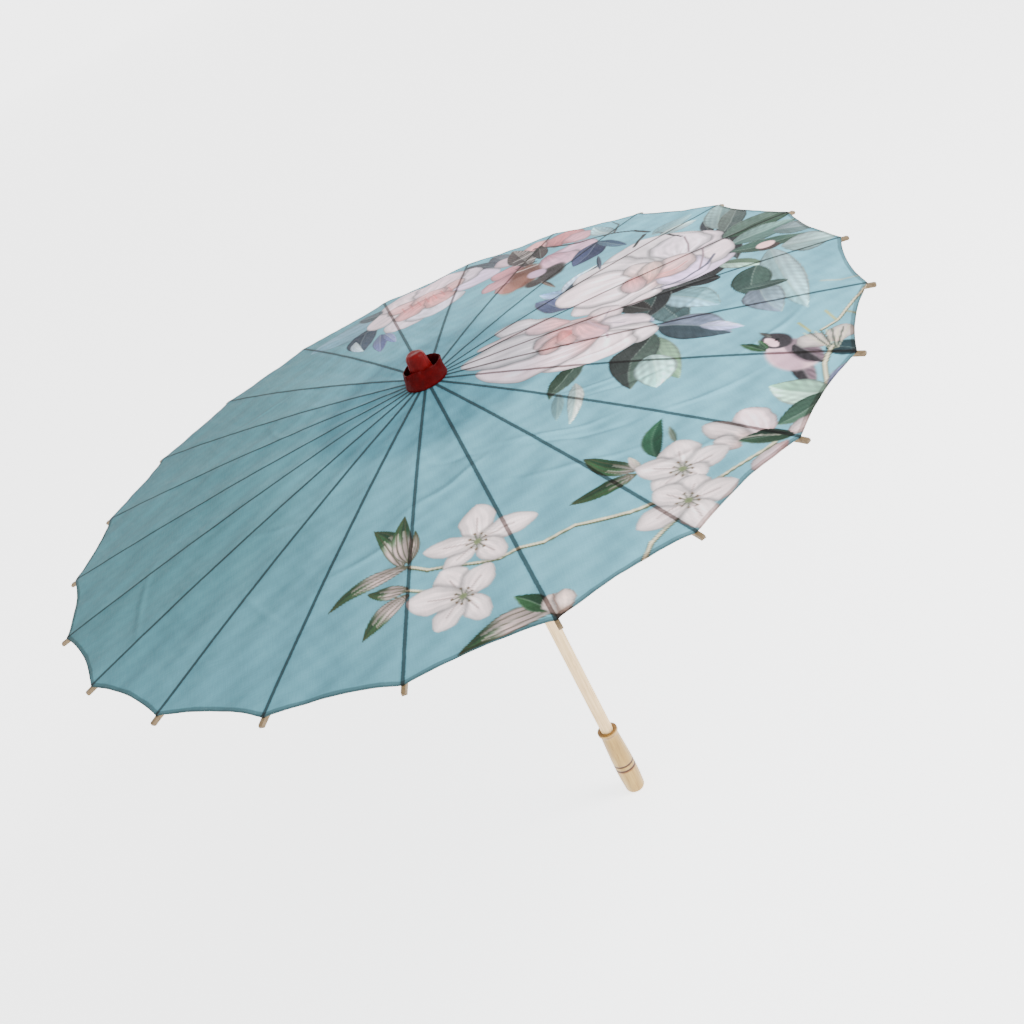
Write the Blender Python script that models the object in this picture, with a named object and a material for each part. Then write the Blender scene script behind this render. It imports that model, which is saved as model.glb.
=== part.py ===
"""Oil-paper umbrella, open: a cloth canopy on 22 split-bamboo ribs that fold down round a wooden shaft.

Metres, +Z up the shaft. The origin is the middle of the handle's flat end. Each rib turns in a slot of
the top hub, each stretcher turns in a slot of its rib and in a slot of the runner, and the runner slides
on the shaft. Rib pivots and stretcher feet stand at one radius, and a stretcher is as long as the stretch
of rib above it, so the fold keeps the runner level and moves it straight along the shaft.
"""

from math import atan2, cos, hypot, pi, radians, sin

import bmesh
import bpy
from mathutils import Matrix

# Overall form
RIB_COUNT = 22
SPREAD_RADIUS = 0.4100  # rib tips, open
PIVOT_HEIGHT = 0.5542  # rib pivots above the handle's end
CANOPY_DROP = 0.0399  # rib tops fall this far from pivot to tip
RIB_CROWN = 0.0043  # and bow up this far between them
CLEARANCE = 0.0003  # between pieces that touch
SAME_POINT = 1e-6  # points nearer than this are one

# Ribs
PIVOT_RADIUS = 0.0175
RIB_WIDTH = 0.0036
RIB_DEPTH = 0.0050
RIB_TIP_DEPTH = 0.0036
PIVOT_COVER = 0.0025  # wood above the rib's pivot
RIB_JOINT_RADIUS = 0.1315  # where the stretcher hinges, open
RIB_JOINT_COVER = 0.0100  # rib top to that hinge
JOINT_BOSS_UNDER = 0.0015  # wood below that hinge
JOINT_BOSS_HALF_LENGTH = 0.0140
JOINT_BOSS_FLAT = 0.0040
SLOT_ROOF = 0.0035  # slot's roof above the hinge
RIB_SPANS = 4

# Tongues, pins and threads
TONGUE_WIDTH = 0.0020
TONGUE_HALF_HEIGHT = 0.0022
TONGUE_ROOM = 0.0010  # from the hub's rim to where a link widens
FORK_TONGUE_WIDTH = 0.0010
PIN_RADIUS = 0.0007
THREAD_RADIUS = 0.00045
THREAD_ROOM = 0.00045  # round the thread in a tongue's eye

# Stretchers
STRETCHER_WIDTH = 0.0030
STRETCHER_DEPTH = 0.0045

# Shaft and handle
SHAFT_RADIUS = 0.0070
SHAFT_TOP_ABOVE_PIVOT = 0.0226
HANDLE_LENGTH = 0.0921
SOCKET_DEPTH = 0.0621
HANDLE_END_RADIUS = 0.0096
HANDLE_END_ROUND = 0.0036  # height of the rounding above the flat end
HANDLE_LOWER_RADIUS = 0.0111
HANDLE_BELLY_FROM_TOP = 0.0640
HANDLE_BELLY_RADIUS = 0.01215
HANDLE_NECK_RADIUS = 0.0102
HANDLE_RIM_RADIUS = 0.01175
HANDLE_RIM_HEIGHT = 0.0040
HANDLE_RIM_CHAMFER = 0.0008
GROOVE_FROM_TOP = (0.0497, 0.0562)
GROOVE_WIDTH = 0.0012
GROOVE_DEPTH = 0.0006

# Top hub and runner
RIM_COVER = 0.0020  # wood outside the pivots
RIM_FREE_SIDE = 0.0040  # rim beyond the pivots on the side the links fold to
RIM_UNDER_CLOTH = 0.0002  # rim stands this much lower than the rib tops
SLOT_ROOM = 0.0011  # from a tongue's nose to the slot's floor
BOSS_WALL = 0.0023
BOSS_HEIGHT = 0.0094
RUNNER_SLIDE_FIT = 0.0004
BARREL_WALL = 0.0036
BARREL_LENGTH = 0.0426
BARREL_FOOT_LENGTH = 0.0040
BARREL_FOOT_PROUD = 0.0012
PEG_RADIUS = 0.0010
PEG_PROUD = 0.0030

# Catch spring
CATCH_SLOT_WIDTH = 0.0038
CATCH_SLOT_LENGTH = 0.0440
CATCH_THICKNESS = 0.0009
CATCH_GAP = 0.0010  # the pressed catch rises this much on its way in
CATCH_PROUD = 0.0030
CATCH_ROOT_LENGTH = 0.0045

# Canopy and cap
CLOTH_THICKNESS = 0.0006
TIP_SHOWING = 0.0080  # rib past the cloth
HEM_SCALLOP = 0.0040  # cloth edge drawn in between ribs
CLOTH_SAG = 0.0015
COLLAR_BASE_RADIUS = 0.0218
COLLAR_TOP_RADIUS = 0.0200
COLLAR_HEIGHT = 0.0165
COLLAR_WALL = 0.0016
KNOB_WALL = 0.0026
KNOB_TAPER = 0.0026
KNOB_HEIGHT = 0.0300
KNOB_DOME = 0.0040

PITCH = 2 * pi / RIB_COUNT


def top_line(radius):
    """Height of a rib's upper edge at this distance from the shaft's axis."""
    share = (radius - PIVOT_RADIUS) / (SPREAD_RADIUS - PIVOT_RADIUS)
    return PIVOT_HEIGHT + PIVOT_COVER - CANOPY_DROP * share + 4 * RIB_CROWN * share * (1 - share)


SOCKET_FLOOR = HANDLE_LENGTH - SOCKET_DEPTH
JOINT_BOSS_DEPTH = RIB_JOINT_COVER + JOINT_BOSS_UNDER
RIM_RADIUS = PIVOT_RADIUS + RIM_COVER
RIM_BACK_SIDE = PIVOT_COVER - RIM_UNDER_CLOTH
SLOT_FLOOR = PIVOT_RADIUS - TONGUE_HALF_HEIGHT - SLOT_ROOM
TONGUE_LENGTH = hypot(RIM_COVER, RIM_FREE_SIDE) + TONGUE_ROOM
JOINT_HEIGHT = top_line(RIB_JOINT_RADIUS) - RIB_JOINT_COVER
JOINT_REACH = RIB_JOINT_RADIUS - PIVOT_RADIUS
JOINT_FALL = PIVOT_HEIGHT - JOINT_HEIGHT
STRETCHER_LENGTH = hypot(JOINT_REACH, JOINT_FALL)
STRETCHER_TILT = atan2(JOINT_FALL, JOINT_REACH)
FOOT_HEIGHT = JOINT_HEIGHT - JOINT_FALL


def finish(name, colour, roughness, metallic=0.0):
    """A plain material of the piece's own colour."""
    material = bpy.data.materials.new(name)
    material.use_nodes = True
    shader = material.node_tree.nodes["Principled BSDF"]
    shader.inputs["Base Color"].default_value = (*colour, 1.0)
    shader.inputs["Roughness"].default_value = roughness
    shader.inputs["Metallic"].default_value = metallic
    return material


def plate(outline, width):
    """A solid of this X-Z outline, standing width thick about the X-Z plane."""
    solid = bmesh.new()
    face = solid.faces.new([solid.verts.new((x, -width / 2, z)) for x, z in outline])
    grown = bmesh.ops.extrude_face_region(solid, geom=[face])
    moved = [part for part in grown["geom"] if isinstance(part, bmesh.types.BMVert)]
    bmesh.ops.translate(solid, verts=moved, vec=(0, width, 0))
    bmesh.ops.recalc_face_normals(solid, faces=solid.faces)
    return solid


def turned(profile, steps, closed=False):
    """A solid spun about Z from (radius, height) points; closed joins the last point to the first."""
    solid = bmesh.new()
    rail = [solid.verts.new((radius, 0, height)) for radius, height in profile]
    ends = rail + rail[:1] if closed else rail
    edges = [solid.edges.new(pair) for pair in zip(ends, ends[1:])]
    bmesh.ops.spin(solid, geom=rail + edges, axis=(0, 0, 1), angle=2 * pi, steps=steps, use_merge=True)
    bmesh.ops.remove_doubles(solid, verts=solid.verts, dist=SAME_POINT)
    bmesh.ops.recalc_face_normals(solid, faces=solid.faces)
    return solid


def rod(radius, length, sides, along, place=(0, 0, 0)):
    """A round rod centred on place, along X or Y."""
    solid = bmesh.new()
    turn = Matrix.Rotation(pi / 2, 4, "Y" if along == "X" else "X")
    bmesh.ops.create_cone(
        solid, cap_ends=True, segments=sides, radius1=radius, radius2=radius, depth=length,
        matrix=Matrix.Translation(place) @ turn,
    )
    return solid


def block(low, high):
    """A box between two corners."""
    solid = bmesh.new()
    size = Matrix.Diagonal([b - a for a, b in zip(low, high)]).to_4x4()
    middle = [(a + b) / 2 for a, b in zip(low, high)]
    bmesh.ops.create_cube(solid, size=1, matrix=Matrix.Translation(middle) @ size)
    return solid


def around(solid):
    """Copies of this solid at every rib's bearing, in one bmesh."""
    ring = bmesh.new()
    for number in range(RIB_COUNT):
        copy = solid.copy()
        bmesh.ops.rotate(copy, verts=copy.verts, matrix=Matrix.Rotation(number * PITCH, 3, "Z"))
        turned_copy = as_mesh(copy)
        ring.from_mesh(turned_copy)
        bpy.data.meshes.remove(turned_copy)
    solid.free()
    return ring


def as_mesh(solid):
    """The bmesh as a mesh of its own."""
    mesh = bpy.data.meshes.new("piece")
    solid.to_mesh(mesh)
    solid.free()
    return mesh


def combine(solid, tools):
    """The mesh left after each (operation, bmesh) of tools has worked on solid in turn."""
    mesh = as_mesh(solid)
    for operation, tool in tools:
        tool_mesh = as_mesh(tool)
        body = bpy.data.objects.new("body", mesh)
        helper = bpy.data.objects.new("helper", tool_mesh)
        for thing in (body, helper):
            bpy.context.collection.objects.link(thing)
        step = body.modifiers.new("step", "BOOLEAN")
        step.operation = operation
        step.object = helper
        worked = bpy.data.meshes.new_from_object(
            body.evaluated_get(bpy.context.evaluated_depsgraph_get())
        )
        for thing in (body, helper):
            bpy.data.objects.remove(thing)
        for spent in (mesh, tool_mesh):
            bpy.data.meshes.remove(spent)
        cleaned = bmesh.new()
        cleaned.from_mesh(worked)
        bmesh.ops.remove_doubles(cleaned, verts=cleaned.verts, dist=SAME_POINT)
        cleaned.to_mesh(worked)
        cleaned.free()
        mesh = worked
    return mesh


def place(name, mesh, material, location=(0, 0, 0), turn=(0, 0, 0), smooth=False):
    """One named object in the scene."""
    if not mesh.materials:
        mesh.materials.append(material)
    if smooth:
        mesh.shade_smooth()
        mesh.set_sharp_from_angle(angle=radians(35))
    piece = bpy.data.objects.new(name, mesh)
    piece.location = location
    piece.rotation_euler = turn
    bpy.context.collection.objects.link(piece)
    return piece


def rib_mesh():
    """A rib lying outwards along X from its pivot: root tongue, thickened joint boss, slender tip."""
    joint = JOINT_REACH
    tip = SPREAD_RADIUS - PIVOT_RADIUS

    def top(x):
        return top_line(PIVOT_RADIUS + x) - PIVOT_HEIGHT

    outer_boss = joint + JOINT_BOSS_HALF_LENGTH
    inner_boss = joint - JOINT_BOSS_HALF_LENGTH

    def depth(x):
        share = max(0.0, (x - outer_boss) / (tip - outer_boss))
        return RIB_DEPTH + (RIB_TIP_DEPTH - RIB_DEPTH) * share

    stations = [TONGUE_LENGTH] + [
        station * tip / RIB_SPANS for station in range(1, RIB_SPANS)
    ]
    upper = [(x, top(x)) for x in stations]
    round_off = RIB_TIP_DEPTH / 3
    tip_low = top(tip) - RIB_TIP_DEPTH
    nose = [
        (tip - round_off, top(tip - round_off)),
        (tip, top(tip) - round_off),
        (tip, tip_low + round_off),
        (tip - round_off, tip_low),
    ]
    lower_stations = [x for x in reversed(stations) if x > outer_boss]
    lower = [(x, top(x) - depth(x)) for x in lower_stations]
    boss = [
        (outer_boss, top(outer_boss) - RIB_DEPTH),
        (joint + JOINT_BOSS_FLAT, top(joint) - JOINT_BOSS_DEPTH),
        (joint - JOINT_BOSS_FLAT, top(joint) - JOINT_BOSS_DEPTH),
        (inner_boss, top(inner_boss) - RIB_DEPTH),
    ]
    root = [(TONGUE_LENGTH, top(TONGUE_LENGTH) - RIB_DEPTH)]
    body = plate(upper + nose + lower + boss + root, RIB_WIDTH)

    hinge = (joint, 0, JOINT_HEIGHT - PIVOT_HEIGHT)
    reach = JOINT_BOSS_HALF_LENGTH + RIB_WIDTH
    slot_half = FORK_TONGUE_WIDTH / 2 + CLEARANCE
    slot = block(
        (hinge[0] - reach, -slot_half, hinge[2] - JOINT_BOSS_DEPTH),
        (hinge[0] + reach, slot_half, hinge[2] + SLOT_ROOF),
    )
    eye = THREAD_RADIUS + THREAD_ROOM
    return combine(body, [
        ("UNION", plate(tongue(TONGUE_LENGTH + CLEARANCE), TONGUE_WIDTH)),
        ("DIFFERENCE", rod(eye, 2 * RIB_WIDTH, 6, "Y")),
        ("DIFFERENCE", slot),
        ("DIFFERENCE", rod(PIN_RADIUS + CLEARANCE, 2 * RIB_WIDTH, 6, "Y", hinge)),
    ])


def tongue(length):
    """Outline of a tongue round the origin that runs this far along +X."""
    turns = [pi / 2 + step * pi / 4 for step in range(5)]
    nose = [(TONGUE_HALF_HEIGHT * cos(turn), TONGUE_HALF_HEIGHT * sin(turn)) for turn in turns]
    return nose + [(length, -TONGUE_HALF_HEIGHT), (length, TONGUE_HALF_HEIGHT)]


def stretcher_mesh():
    """A stretcher lying along X from its rib hinge to its foot, with the hinge pin through its fork tongue."""
    start = JOINT_BOSS_HALF_LENGTH
    end = STRETCHER_LENGTH - TONGUE_LENGTH
    half = STRETCHER_DEPTH / 2
    body = plate([(start, -half), (end, -half), (end, half), (start, half)], STRETCHER_WIDTH)
    foot = plate(
        [(STRETCHER_LENGTH - x, z) for x, z in tongue(TONGUE_LENGTH + CLEARANCE)], TONGUE_WIDTH
    )
    pin_length = RIB_WIDTH - 2 * CLEARANCE
    eye = THREAD_RADIUS + THREAD_ROOM
    return combine(body, [
        ("UNION", plate(tongue(start + CLEARANCE), FORK_TONGUE_WIDTH)),
        ("UNION", foot),
        ("UNION", rod(PIN_RADIUS, pin_length, 6, "Y")),
        ("DIFFERENCE", rod(eye, 2 * STRETCHER_WIDTH, 6, "Y", (STRETCHER_LENGTH, 0, 0))),
    ])


def slotted(profile, low, high, other_tools=()):
    """A turned drum with a slot for each link between low and high, and a groove for the thread, at Z 0."""
    half = TONGUE_WIDTH / 2 + CLEARANCE
    slot = block((SLOT_FLOOR, -half, low), (RIM_RADIUS + half, half, high))
    inner = PIVOT_RADIUS - THREAD_RADIUS - CLEARANCE
    lip = THREAD_RADIUS + CLEARANCE
    outer = RIM_RADIUS + lip
    groove = turned([(inner, -lip), (outer, -lip), (outer, lip), (inner, lip)], 2 * RIB_COUNT, closed=True)
    return combine(turned(profile, 2 * RIB_COUNT, closed=True), [
        ("DIFFERENCE", groove),
        ("DIFFERENCE", around(slot)),
        *other_tools,
    ])


def thread_mesh():
    """The thread ring that strings the pivots, lying at Z 0."""
    section = [
        (PIVOT_RADIUS + THREAD_RADIUS * cos(turn), THREAD_RADIUS * sin(turn))
        for turn in (side * pi / 3 for side in range(6))
    ]
    return as_mesh(turned(section, 2 * RIB_COUNT, closed=True))


# Materials
bamboo = finish("bamboo", (0.62, 0.47, 0.30), 0.55)
pale_wood = finish("pale_wood", (0.74, 0.60, 0.43), 0.50)
turned_wood = finish("turned_wood", (0.62, 0.43, 0.24), 0.38)
hub_wood = finish("hub_wood", (0.58, 0.42, 0.26), 0.60)
cloth = finish("cloth", (0.20, 0.38, 0.43), 0.80)
red_vinyl = finish("red_vinyl", (0.45, 0.015, 0.02), 0.35)
thread = finish("thread", (0.70, 0.66, 0.58), 0.85)
spring_steel = finish("spring_steel", (0.56, 0.55, 0.52), 0.35, 1.0)

for old in list(bpy.data.objects):
    bpy.data.objects.remove(old)

# Handle, turned, with a flared rim, a swelling belly, two grooves and a socket for the shaft
rim_foot = HANDLE_LENGTH - HANDLE_RIM_HEIGHT
neck = rim_foot - HANDLE_RIM_HEIGHT
belly = HANDLE_LENGTH - HANDLE_BELLY_FROM_TOP


def handle_skin(height):
    """Radius of the handle's plain turning, from its rounded end up to its neck."""
    if height < HANDLE_END_ROUND:
        share = height / HANDLE_END_ROUND
        return HANDLE_END_RADIUS + (HANDLE_LOWER_RADIUS - HANDLE_END_RADIUS) * sin(share * pi / 2)
    if height < belly:
        share = (height - HANDLE_END_ROUND) / (belly - HANDLE_END_ROUND)
        return HANDLE_LOWER_RADIUS + (HANDLE_BELLY_RADIUS - HANDLE_LOWER_RADIUS) * sin(share * pi / 2)
    share = (height - belly) / (neck - belly)
    return HANDLE_NECK_RADIUS + (HANDLE_BELLY_RADIUS - HANDLE_NECK_RADIUS) * cos(share * pi / 2)


skin_heights = [0, HANDLE_END_ROUND / 3, HANDLE_END_ROUND, (HANDLE_END_ROUND + belly) / 2, belly, neck]
skin = [(handle_skin(height), height) for height in skin_heights]
for from_top in GROOVE_FROM_TOP:
    bottom = HANDLE_LENGTH - from_top
    for edge in (bottom - GROOVE_WIDTH / 2, bottom + GROOVE_WIDTH / 2):
        skin.append((handle_skin(edge), edge))
    skin.append((handle_skin(bottom) - GROOVE_DEPTH, bottom))
skin.sort(key=lambda point: point[1])
handle_profile = [(0, 0)] + skin + [
    (HANDLE_RIM_RADIUS, rim_foot),
    (HANDLE_RIM_RADIUS, HANDLE_LENGTH - HANDLE_RIM_CHAMFER),
    (HANDLE_RIM_RADIUS - HANDLE_RIM_CHAMFER, HANDLE_LENGTH),
    (SHAFT_RADIUS + CLEARANCE, HANDLE_LENGTH),
    (SHAFT_RADIUS + CLEARANCE, SOCKET_FLOOR - CLEARANCE),
    (0, SOCKET_FLOOR - CLEARANCE),
]
place("handle", as_mesh(turned(handle_profile, 24)), turned_wood, smooth=True)

# Heights of what is fixed on the shaft
shaft_top = PIVOT_HEIGHT + SHAFT_TOP_ABOVE_PIVOT
boss_top = PIVOT_HEIGHT + RIM_BACK_SIDE + BOSS_HEIGHT
hub_pin_height = boss_top - BOSS_HEIGHT / 2
runner_top = FOOT_HEIGHT + RIM_FREE_SIDE
runner_bottom = FOOT_HEIGHT - RIM_BACK_SIDE - BARREL_LENGTH
peg_height = runner_top + CLEARANCE + PEG_RADIUS
catch_slot_top = runner_bottom + 2 * CATCH_THICKNESS
catch_slot_bottom = catch_slot_top - CATCH_SLOT_LENGTH

# Shaft, with its two pin holes and the slot that the catch springs out of
shaft_profile = [(0, SOCKET_FLOOR), (SHAFT_RADIUS, SOCKET_FLOOR), (SHAFT_RADIUS, shaft_top), (0, shaft_top)]
slot_depth = SHAFT_RADIUS / 2
shaft_slot = block(
    (-slot_depth, -CATCH_SLOT_WIDTH / 2, catch_slot_bottom),
    (2 * SHAFT_RADIUS, CATCH_SLOT_WIDTH / 2, catch_slot_top),
)
shaft_mesh = combine(turned(shaft_profile, 24), [
    ("DIFFERENCE", rod(PEG_RADIUS + CLEARANCE, 4 * SHAFT_RADIUS, 8, "Y", (0, 0, hub_pin_height))),
    ("DIFFERENCE", rod(PEG_RADIUS + CLEARANCE, 4 * SHAFT_RADIUS, 8, "Y", (0, 0, peg_height))),
    ("DIFFERENCE", shaft_slot),
])
place("shaft", shaft_mesh, pale_wood, smooth=True)

# Top hub: a slotted rim with a boss that the cross pin goes through
bore = SHAFT_RADIUS + CLEARANCE
boss_radius = bore + BOSS_WALL
hub_profile = [
    (bore, -RIM_FREE_SIDE),
    (RIM_RADIUS, -RIM_FREE_SIDE),
    (RIM_RADIUS, RIM_BACK_SIDE),
    (boss_radius, RIM_BACK_SIDE),
    (boss_radius, RIM_BACK_SIDE + BOSS_HEIGHT),
    (bore, RIM_BACK_SIDE + BOSS_HEIGHT),
]
pin_hole = rod(
    PEG_RADIUS + CLEARANCE, 4 * SHAFT_RADIUS, 8, "Y", (0, 0, hub_pin_height - PIVOT_HEIGHT)
)
hub = slotted(hub_profile, -2 * RIM_FREE_SIDE, 2 * RIM_BACK_SIDE, [("DIFFERENCE", pin_hole)])
place("top_hub", hub, hub_wood, (0, 0, PIVOT_HEIGHT))
hub_pin = as_mesh(rod(PEG_RADIUS, 2 * (boss_radius - CLEARANCE), 8, "Y"))
place("hub_pin", hub_pin, bamboo, (0, 0, hub_pin_height), smooth=True)
place("rib_thread", thread_mesh(), thread, (0, 0, PIVOT_HEIGHT), smooth=True)

# Stop peg and catch spring, which hold the runner between them
stop_peg = as_mesh(rod(PEG_RADIUS, 2 * (SHAFT_RADIUS + PEG_PROUD), 8, "Y"))
place("stop_peg", stop_peg, bamboo, (0, 0, peg_height), smooth=True)
catch_foot = catch_slot_bottom + CLEARANCE
catch_top = runner_bottom - CATCH_GAP - catch_foot
catch_out = SHAFT_RADIUS + CATCH_PROUD
catch_outline = [
    (-CATCH_THICKNESS, 0),
    (CATCH_THICKNESS, 0),
    (CATCH_THICKNESS, CATCH_ROOT_LENGTH),
    (catch_out, catch_top - CATCH_THICKNESS),
    (catch_out, catch_top),
    (SHAFT_RADIUS / 2, catch_top),
    (SHAFT_RADIUS / 2, catch_top - CATCH_THICKNESS),
    (catch_out - 2 * CATCH_THICKNESS, catch_top - CATCH_THICKNESS),
    (0, CATCH_ROOT_LENGTH),
    (-CATCH_THICKNESS, CATCH_ROOT_LENGTH),
]
catch_solid = plate(catch_outline, CATCH_SLOT_WIDTH - 2 * CLEARANCE)
bmesh.ops.translate(catch_solid, verts=catch_solid.verts, vec=(0, 0, -CATCH_ROOT_LENGTH / 2))
catch_hinge = catch_foot + CATCH_ROOT_LENGTH / 2
place("catch_spring", as_mesh(catch_solid), spring_steel, (0, 0, catch_hinge))

# Runner: the top hub's rim turned over, on a barrel that slides on the shaft
slide_bore = SHAFT_RADIUS + RUNNER_SLIDE_FIT
barrel_radius = slide_bore + BARREL_WALL
foot_top = -RIM_BACK_SIDE - BARREL_LENGTH + BARREL_FOOT_LENGTH
runner_profile = [
    (slide_bore, -RIM_BACK_SIDE - BARREL_LENGTH),
    (barrel_radius + BARREL_FOOT_PROUD, -RIM_BACK_SIDE - BARREL_LENGTH),
    (barrel_radius + BARREL_FOOT_PROUD, foot_top),
    (barrel_radius, foot_top + BARREL_FOOT_PROUD),
    (barrel_radius, -RIM_BACK_SIDE),
    (RIM_RADIUS, -RIM_BACK_SIDE),
    (RIM_RADIUS, RIM_FREE_SIDE),
    (slide_bore, RIM_FREE_SIDE),
]
runner = slotted(runner_profile, -2 * RIM_BACK_SIDE, 2 * RIM_FREE_SIDE)
place("runner", runner, hub_wood, (0, 0, FOOT_HEIGHT))
place("stretcher_thread", thread_mesh(), thread, (0, 0, FOOT_HEIGHT), smooth=True)

# Ribs and stretchers, numbered the way the angle grows from +X
rib = rib_mesh()
stretcher = stretcher_mesh()
for number in range(RIB_COUNT):
    bearing = number * PITCH
    rib_place = (PIVOT_RADIUS * cos(bearing), PIVOT_RADIUS * sin(bearing), PIVOT_HEIGHT)
    place(f"rib_{number:02d}", rib, bamboo, rib_place, (0, 0, bearing))
    hinge_place = (RIB_JOINT_RADIUS * cos(bearing), RIB_JOINT_RADIUS * sin(bearing), JOINT_HEIGHT)
    place(
        f"stretcher_{number:02d}", stretcher, bamboo, hinge_place, (0, STRETCHER_TILT, bearing + pi)
    )

# Canopy: one sheet on the ribs, each gore drawn in and sagging a little between them
cloth_edge = SPREAD_RADIUS - TIP_SHOWING
rib_spacing = (SPREAD_RADIUS - PIVOT_RADIUS) / RIB_SPANS
hole = boss_radius + 2 * CLEARANCE
rings = [hole, PIVOT_RADIUS] + [
    PIVOT_RADIUS + span * rib_spacing for span in range(1, RIB_SPANS)
] + [cloth_edge]
underside = []
for radius in rings:
    share = max(0.0, (radius - PIVOT_RADIUS) / (cloth_edge - PIVOT_RADIUS))
    height = top_line(radius) + CLEARANCE
    for half_gore in range(2 * RIB_COUNT):
        bearing = half_gore * PITCH / 2
        between = half_gore % 2
        chord = cos(PITCH / 2) if between and radius > PIVOT_RADIUS else 1.0
        out = radius * chord - between * HEM_SCALLOP * share ** 4
        low = between * CLOTH_SAG * 4 * share * (1 - share)
        underside.append((out * cos(bearing), out * sin(bearing), height - low))
canopy = bmesh.new()
around_count = 2 * RIB_COUNT
lower = [canopy.verts.new(point) for point in underside]
for ring_number in range(len(rings) - 1):
    for step in range(around_count):
        following = (step + 1) % around_count
        inner = ring_number * around_count
        outer = inner + around_count
        canopy.faces.new(
            [lower[inner + step], lower[outer + step], lower[outer + following], lower[inner + following]]
        )
grown = bmesh.ops.extrude_face_region(canopy, geom=list(canopy.faces))
raised = [part for part in grown["geom"] if isinstance(part, bmesh.types.BMVert)]
bmesh.ops.translate(canopy, verts=raised, vec=(0, 0, CLOTH_THICKNESS))
bmesh.ops.recalc_face_normals(canopy, faces=canopy.faces)
place("canopy", as_mesh(canopy), cloth)

# Cap: an open collar round the cloth's centre and a knob over the shaft's end
cap_base = top_line(hole) + 2 * CLEARANCE + CLOTH_THICKNESS
collar_top = cap_base + COLLAR_HEIGHT
inside = boss_radius + CLEARANCE
knob_radius = inside + KNOB_WALL
collar_hole = knob_radius + CLEARANCE
collar_profile = [
    (collar_hole, cap_base),
    (COLLAR_BASE_RADIUS, cap_base),
    (COLLAR_TOP_RADIUS, collar_top),
    (COLLAR_TOP_RADIUS - COLLAR_WALL, collar_top),
    (COLLAR_BASE_RADIUS - COLLAR_WALL, cap_base + COLLAR_WALL),
    (collar_hole, cap_base + COLLAR_WALL),
]
place("cap_collar", as_mesh(turned(collar_profile, 32, closed=True)), red_vinyl, smooth=True)
knob_top = cap_base + KNOB_HEIGHT
dome_steps = 4
dome = [
    (
        knob_radius - KNOB_TAPER - KNOB_DOME * (1 - cos(step * pi / 2 / dome_steps)),
        knob_top - KNOB_DOME * (1 - sin(step * pi / 2 / dome_steps)),
    )
    for step in range(dome_steps + 1)
]
inner_step = boss_top + CLEARANCE
knob_profile = [(knob_radius, cap_base)] + dome + [
    (0, knob_top),
    (0, shaft_top + CLEARANCE),
    (bore, shaft_top + CLEARANCE),
    (bore, inner_step),
    (inside, inner_step),
    (inside, cap_base),
]
place("cap_knob", as_mesh(turned(knob_profile, 24, closed=True)), red_vinyl, smooth=True)
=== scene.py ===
"""Oil-paper umbrella, open: printed cloth on 22 split-bamboo ribs that fold down round a wooden shaft."""

from math import atan2, cos, exp, pi, radians, remainder, sin

import bmesh
import bpy
import numpy as np
from mathutils import Matrix, Vector


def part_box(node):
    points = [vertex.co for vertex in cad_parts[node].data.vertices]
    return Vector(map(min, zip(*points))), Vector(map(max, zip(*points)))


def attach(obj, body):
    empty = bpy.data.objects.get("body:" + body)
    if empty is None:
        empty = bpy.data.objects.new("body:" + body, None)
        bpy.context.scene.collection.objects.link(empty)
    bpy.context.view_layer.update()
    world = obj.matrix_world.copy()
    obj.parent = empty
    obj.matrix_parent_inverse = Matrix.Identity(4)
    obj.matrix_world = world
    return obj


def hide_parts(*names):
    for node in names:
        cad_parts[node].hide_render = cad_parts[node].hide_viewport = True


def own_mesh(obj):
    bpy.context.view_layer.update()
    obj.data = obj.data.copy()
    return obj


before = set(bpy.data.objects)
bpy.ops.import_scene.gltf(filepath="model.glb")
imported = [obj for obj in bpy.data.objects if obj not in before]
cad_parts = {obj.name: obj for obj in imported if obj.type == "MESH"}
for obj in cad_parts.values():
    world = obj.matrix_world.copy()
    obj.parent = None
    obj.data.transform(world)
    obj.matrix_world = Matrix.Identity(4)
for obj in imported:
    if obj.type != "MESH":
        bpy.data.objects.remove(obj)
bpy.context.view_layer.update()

# Studio: a pale floor under the handle's end, a bright plain surround, one broad soft lamp high on the
# right and a weaker one on the left, so that the cloth reads evenly and its creases just show.
FLOOR_RADIUS = 20.0
SWEEP_RADIUS = 6.0
CAMERA_PLACE = (0.149, -1.107, 0.989)
CAMERA_TURN = (59.05, 23.49, -6.56)
CAMERA_LENS = 44.38

scene = bpy.context.scene
world = bpy.data.worlds.new("studio_surround")
world.use_nodes = True
surround = world.node_tree.nodes["Background"]
surround.inputs["Color"].default_value = (1.0, 1.0, 1.0, 1.0)
surround.inputs["Strength"].default_value = 1.45
scene.world = world


def soft_lamp(name, place, aim, size, power):
    """A square area lamp at place that faces aim."""
    lamp = bpy.data.lights.new(name, "AREA")
    lamp.size = size
    lamp.energy = power
    holder = bpy.data.objects.new(name, lamp)
    holder.location = place
    holder.rotation_euler = (Vector(aim) - Vector(place)).to_track_quat("-Z", "Y").to_euler()
    scene.collection.objects.link(holder)


soft_lamp("key_lamp", (1.9, -0.5, 2.0), (0.1, 0.0, 0.5), 1.0, 95.0)
soft_lamp("fill_lamp", (-1.4, -1.5, 1.7), (0.0, 0.0, 0.4), 1.2, 14.0)

camera = bpy.data.objects.new("studio_camera", bpy.data.cameras.new("studio_camera"))
camera.data.lens = CAMERA_LENS
camera.data.sensor_width = 36.0
camera.location = CAMERA_PLACE
camera.rotation_euler = [radians(angle) for angle in CAMERA_TURN]
scene.collection.objects.link(camera)
scene.camera = camera

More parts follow.
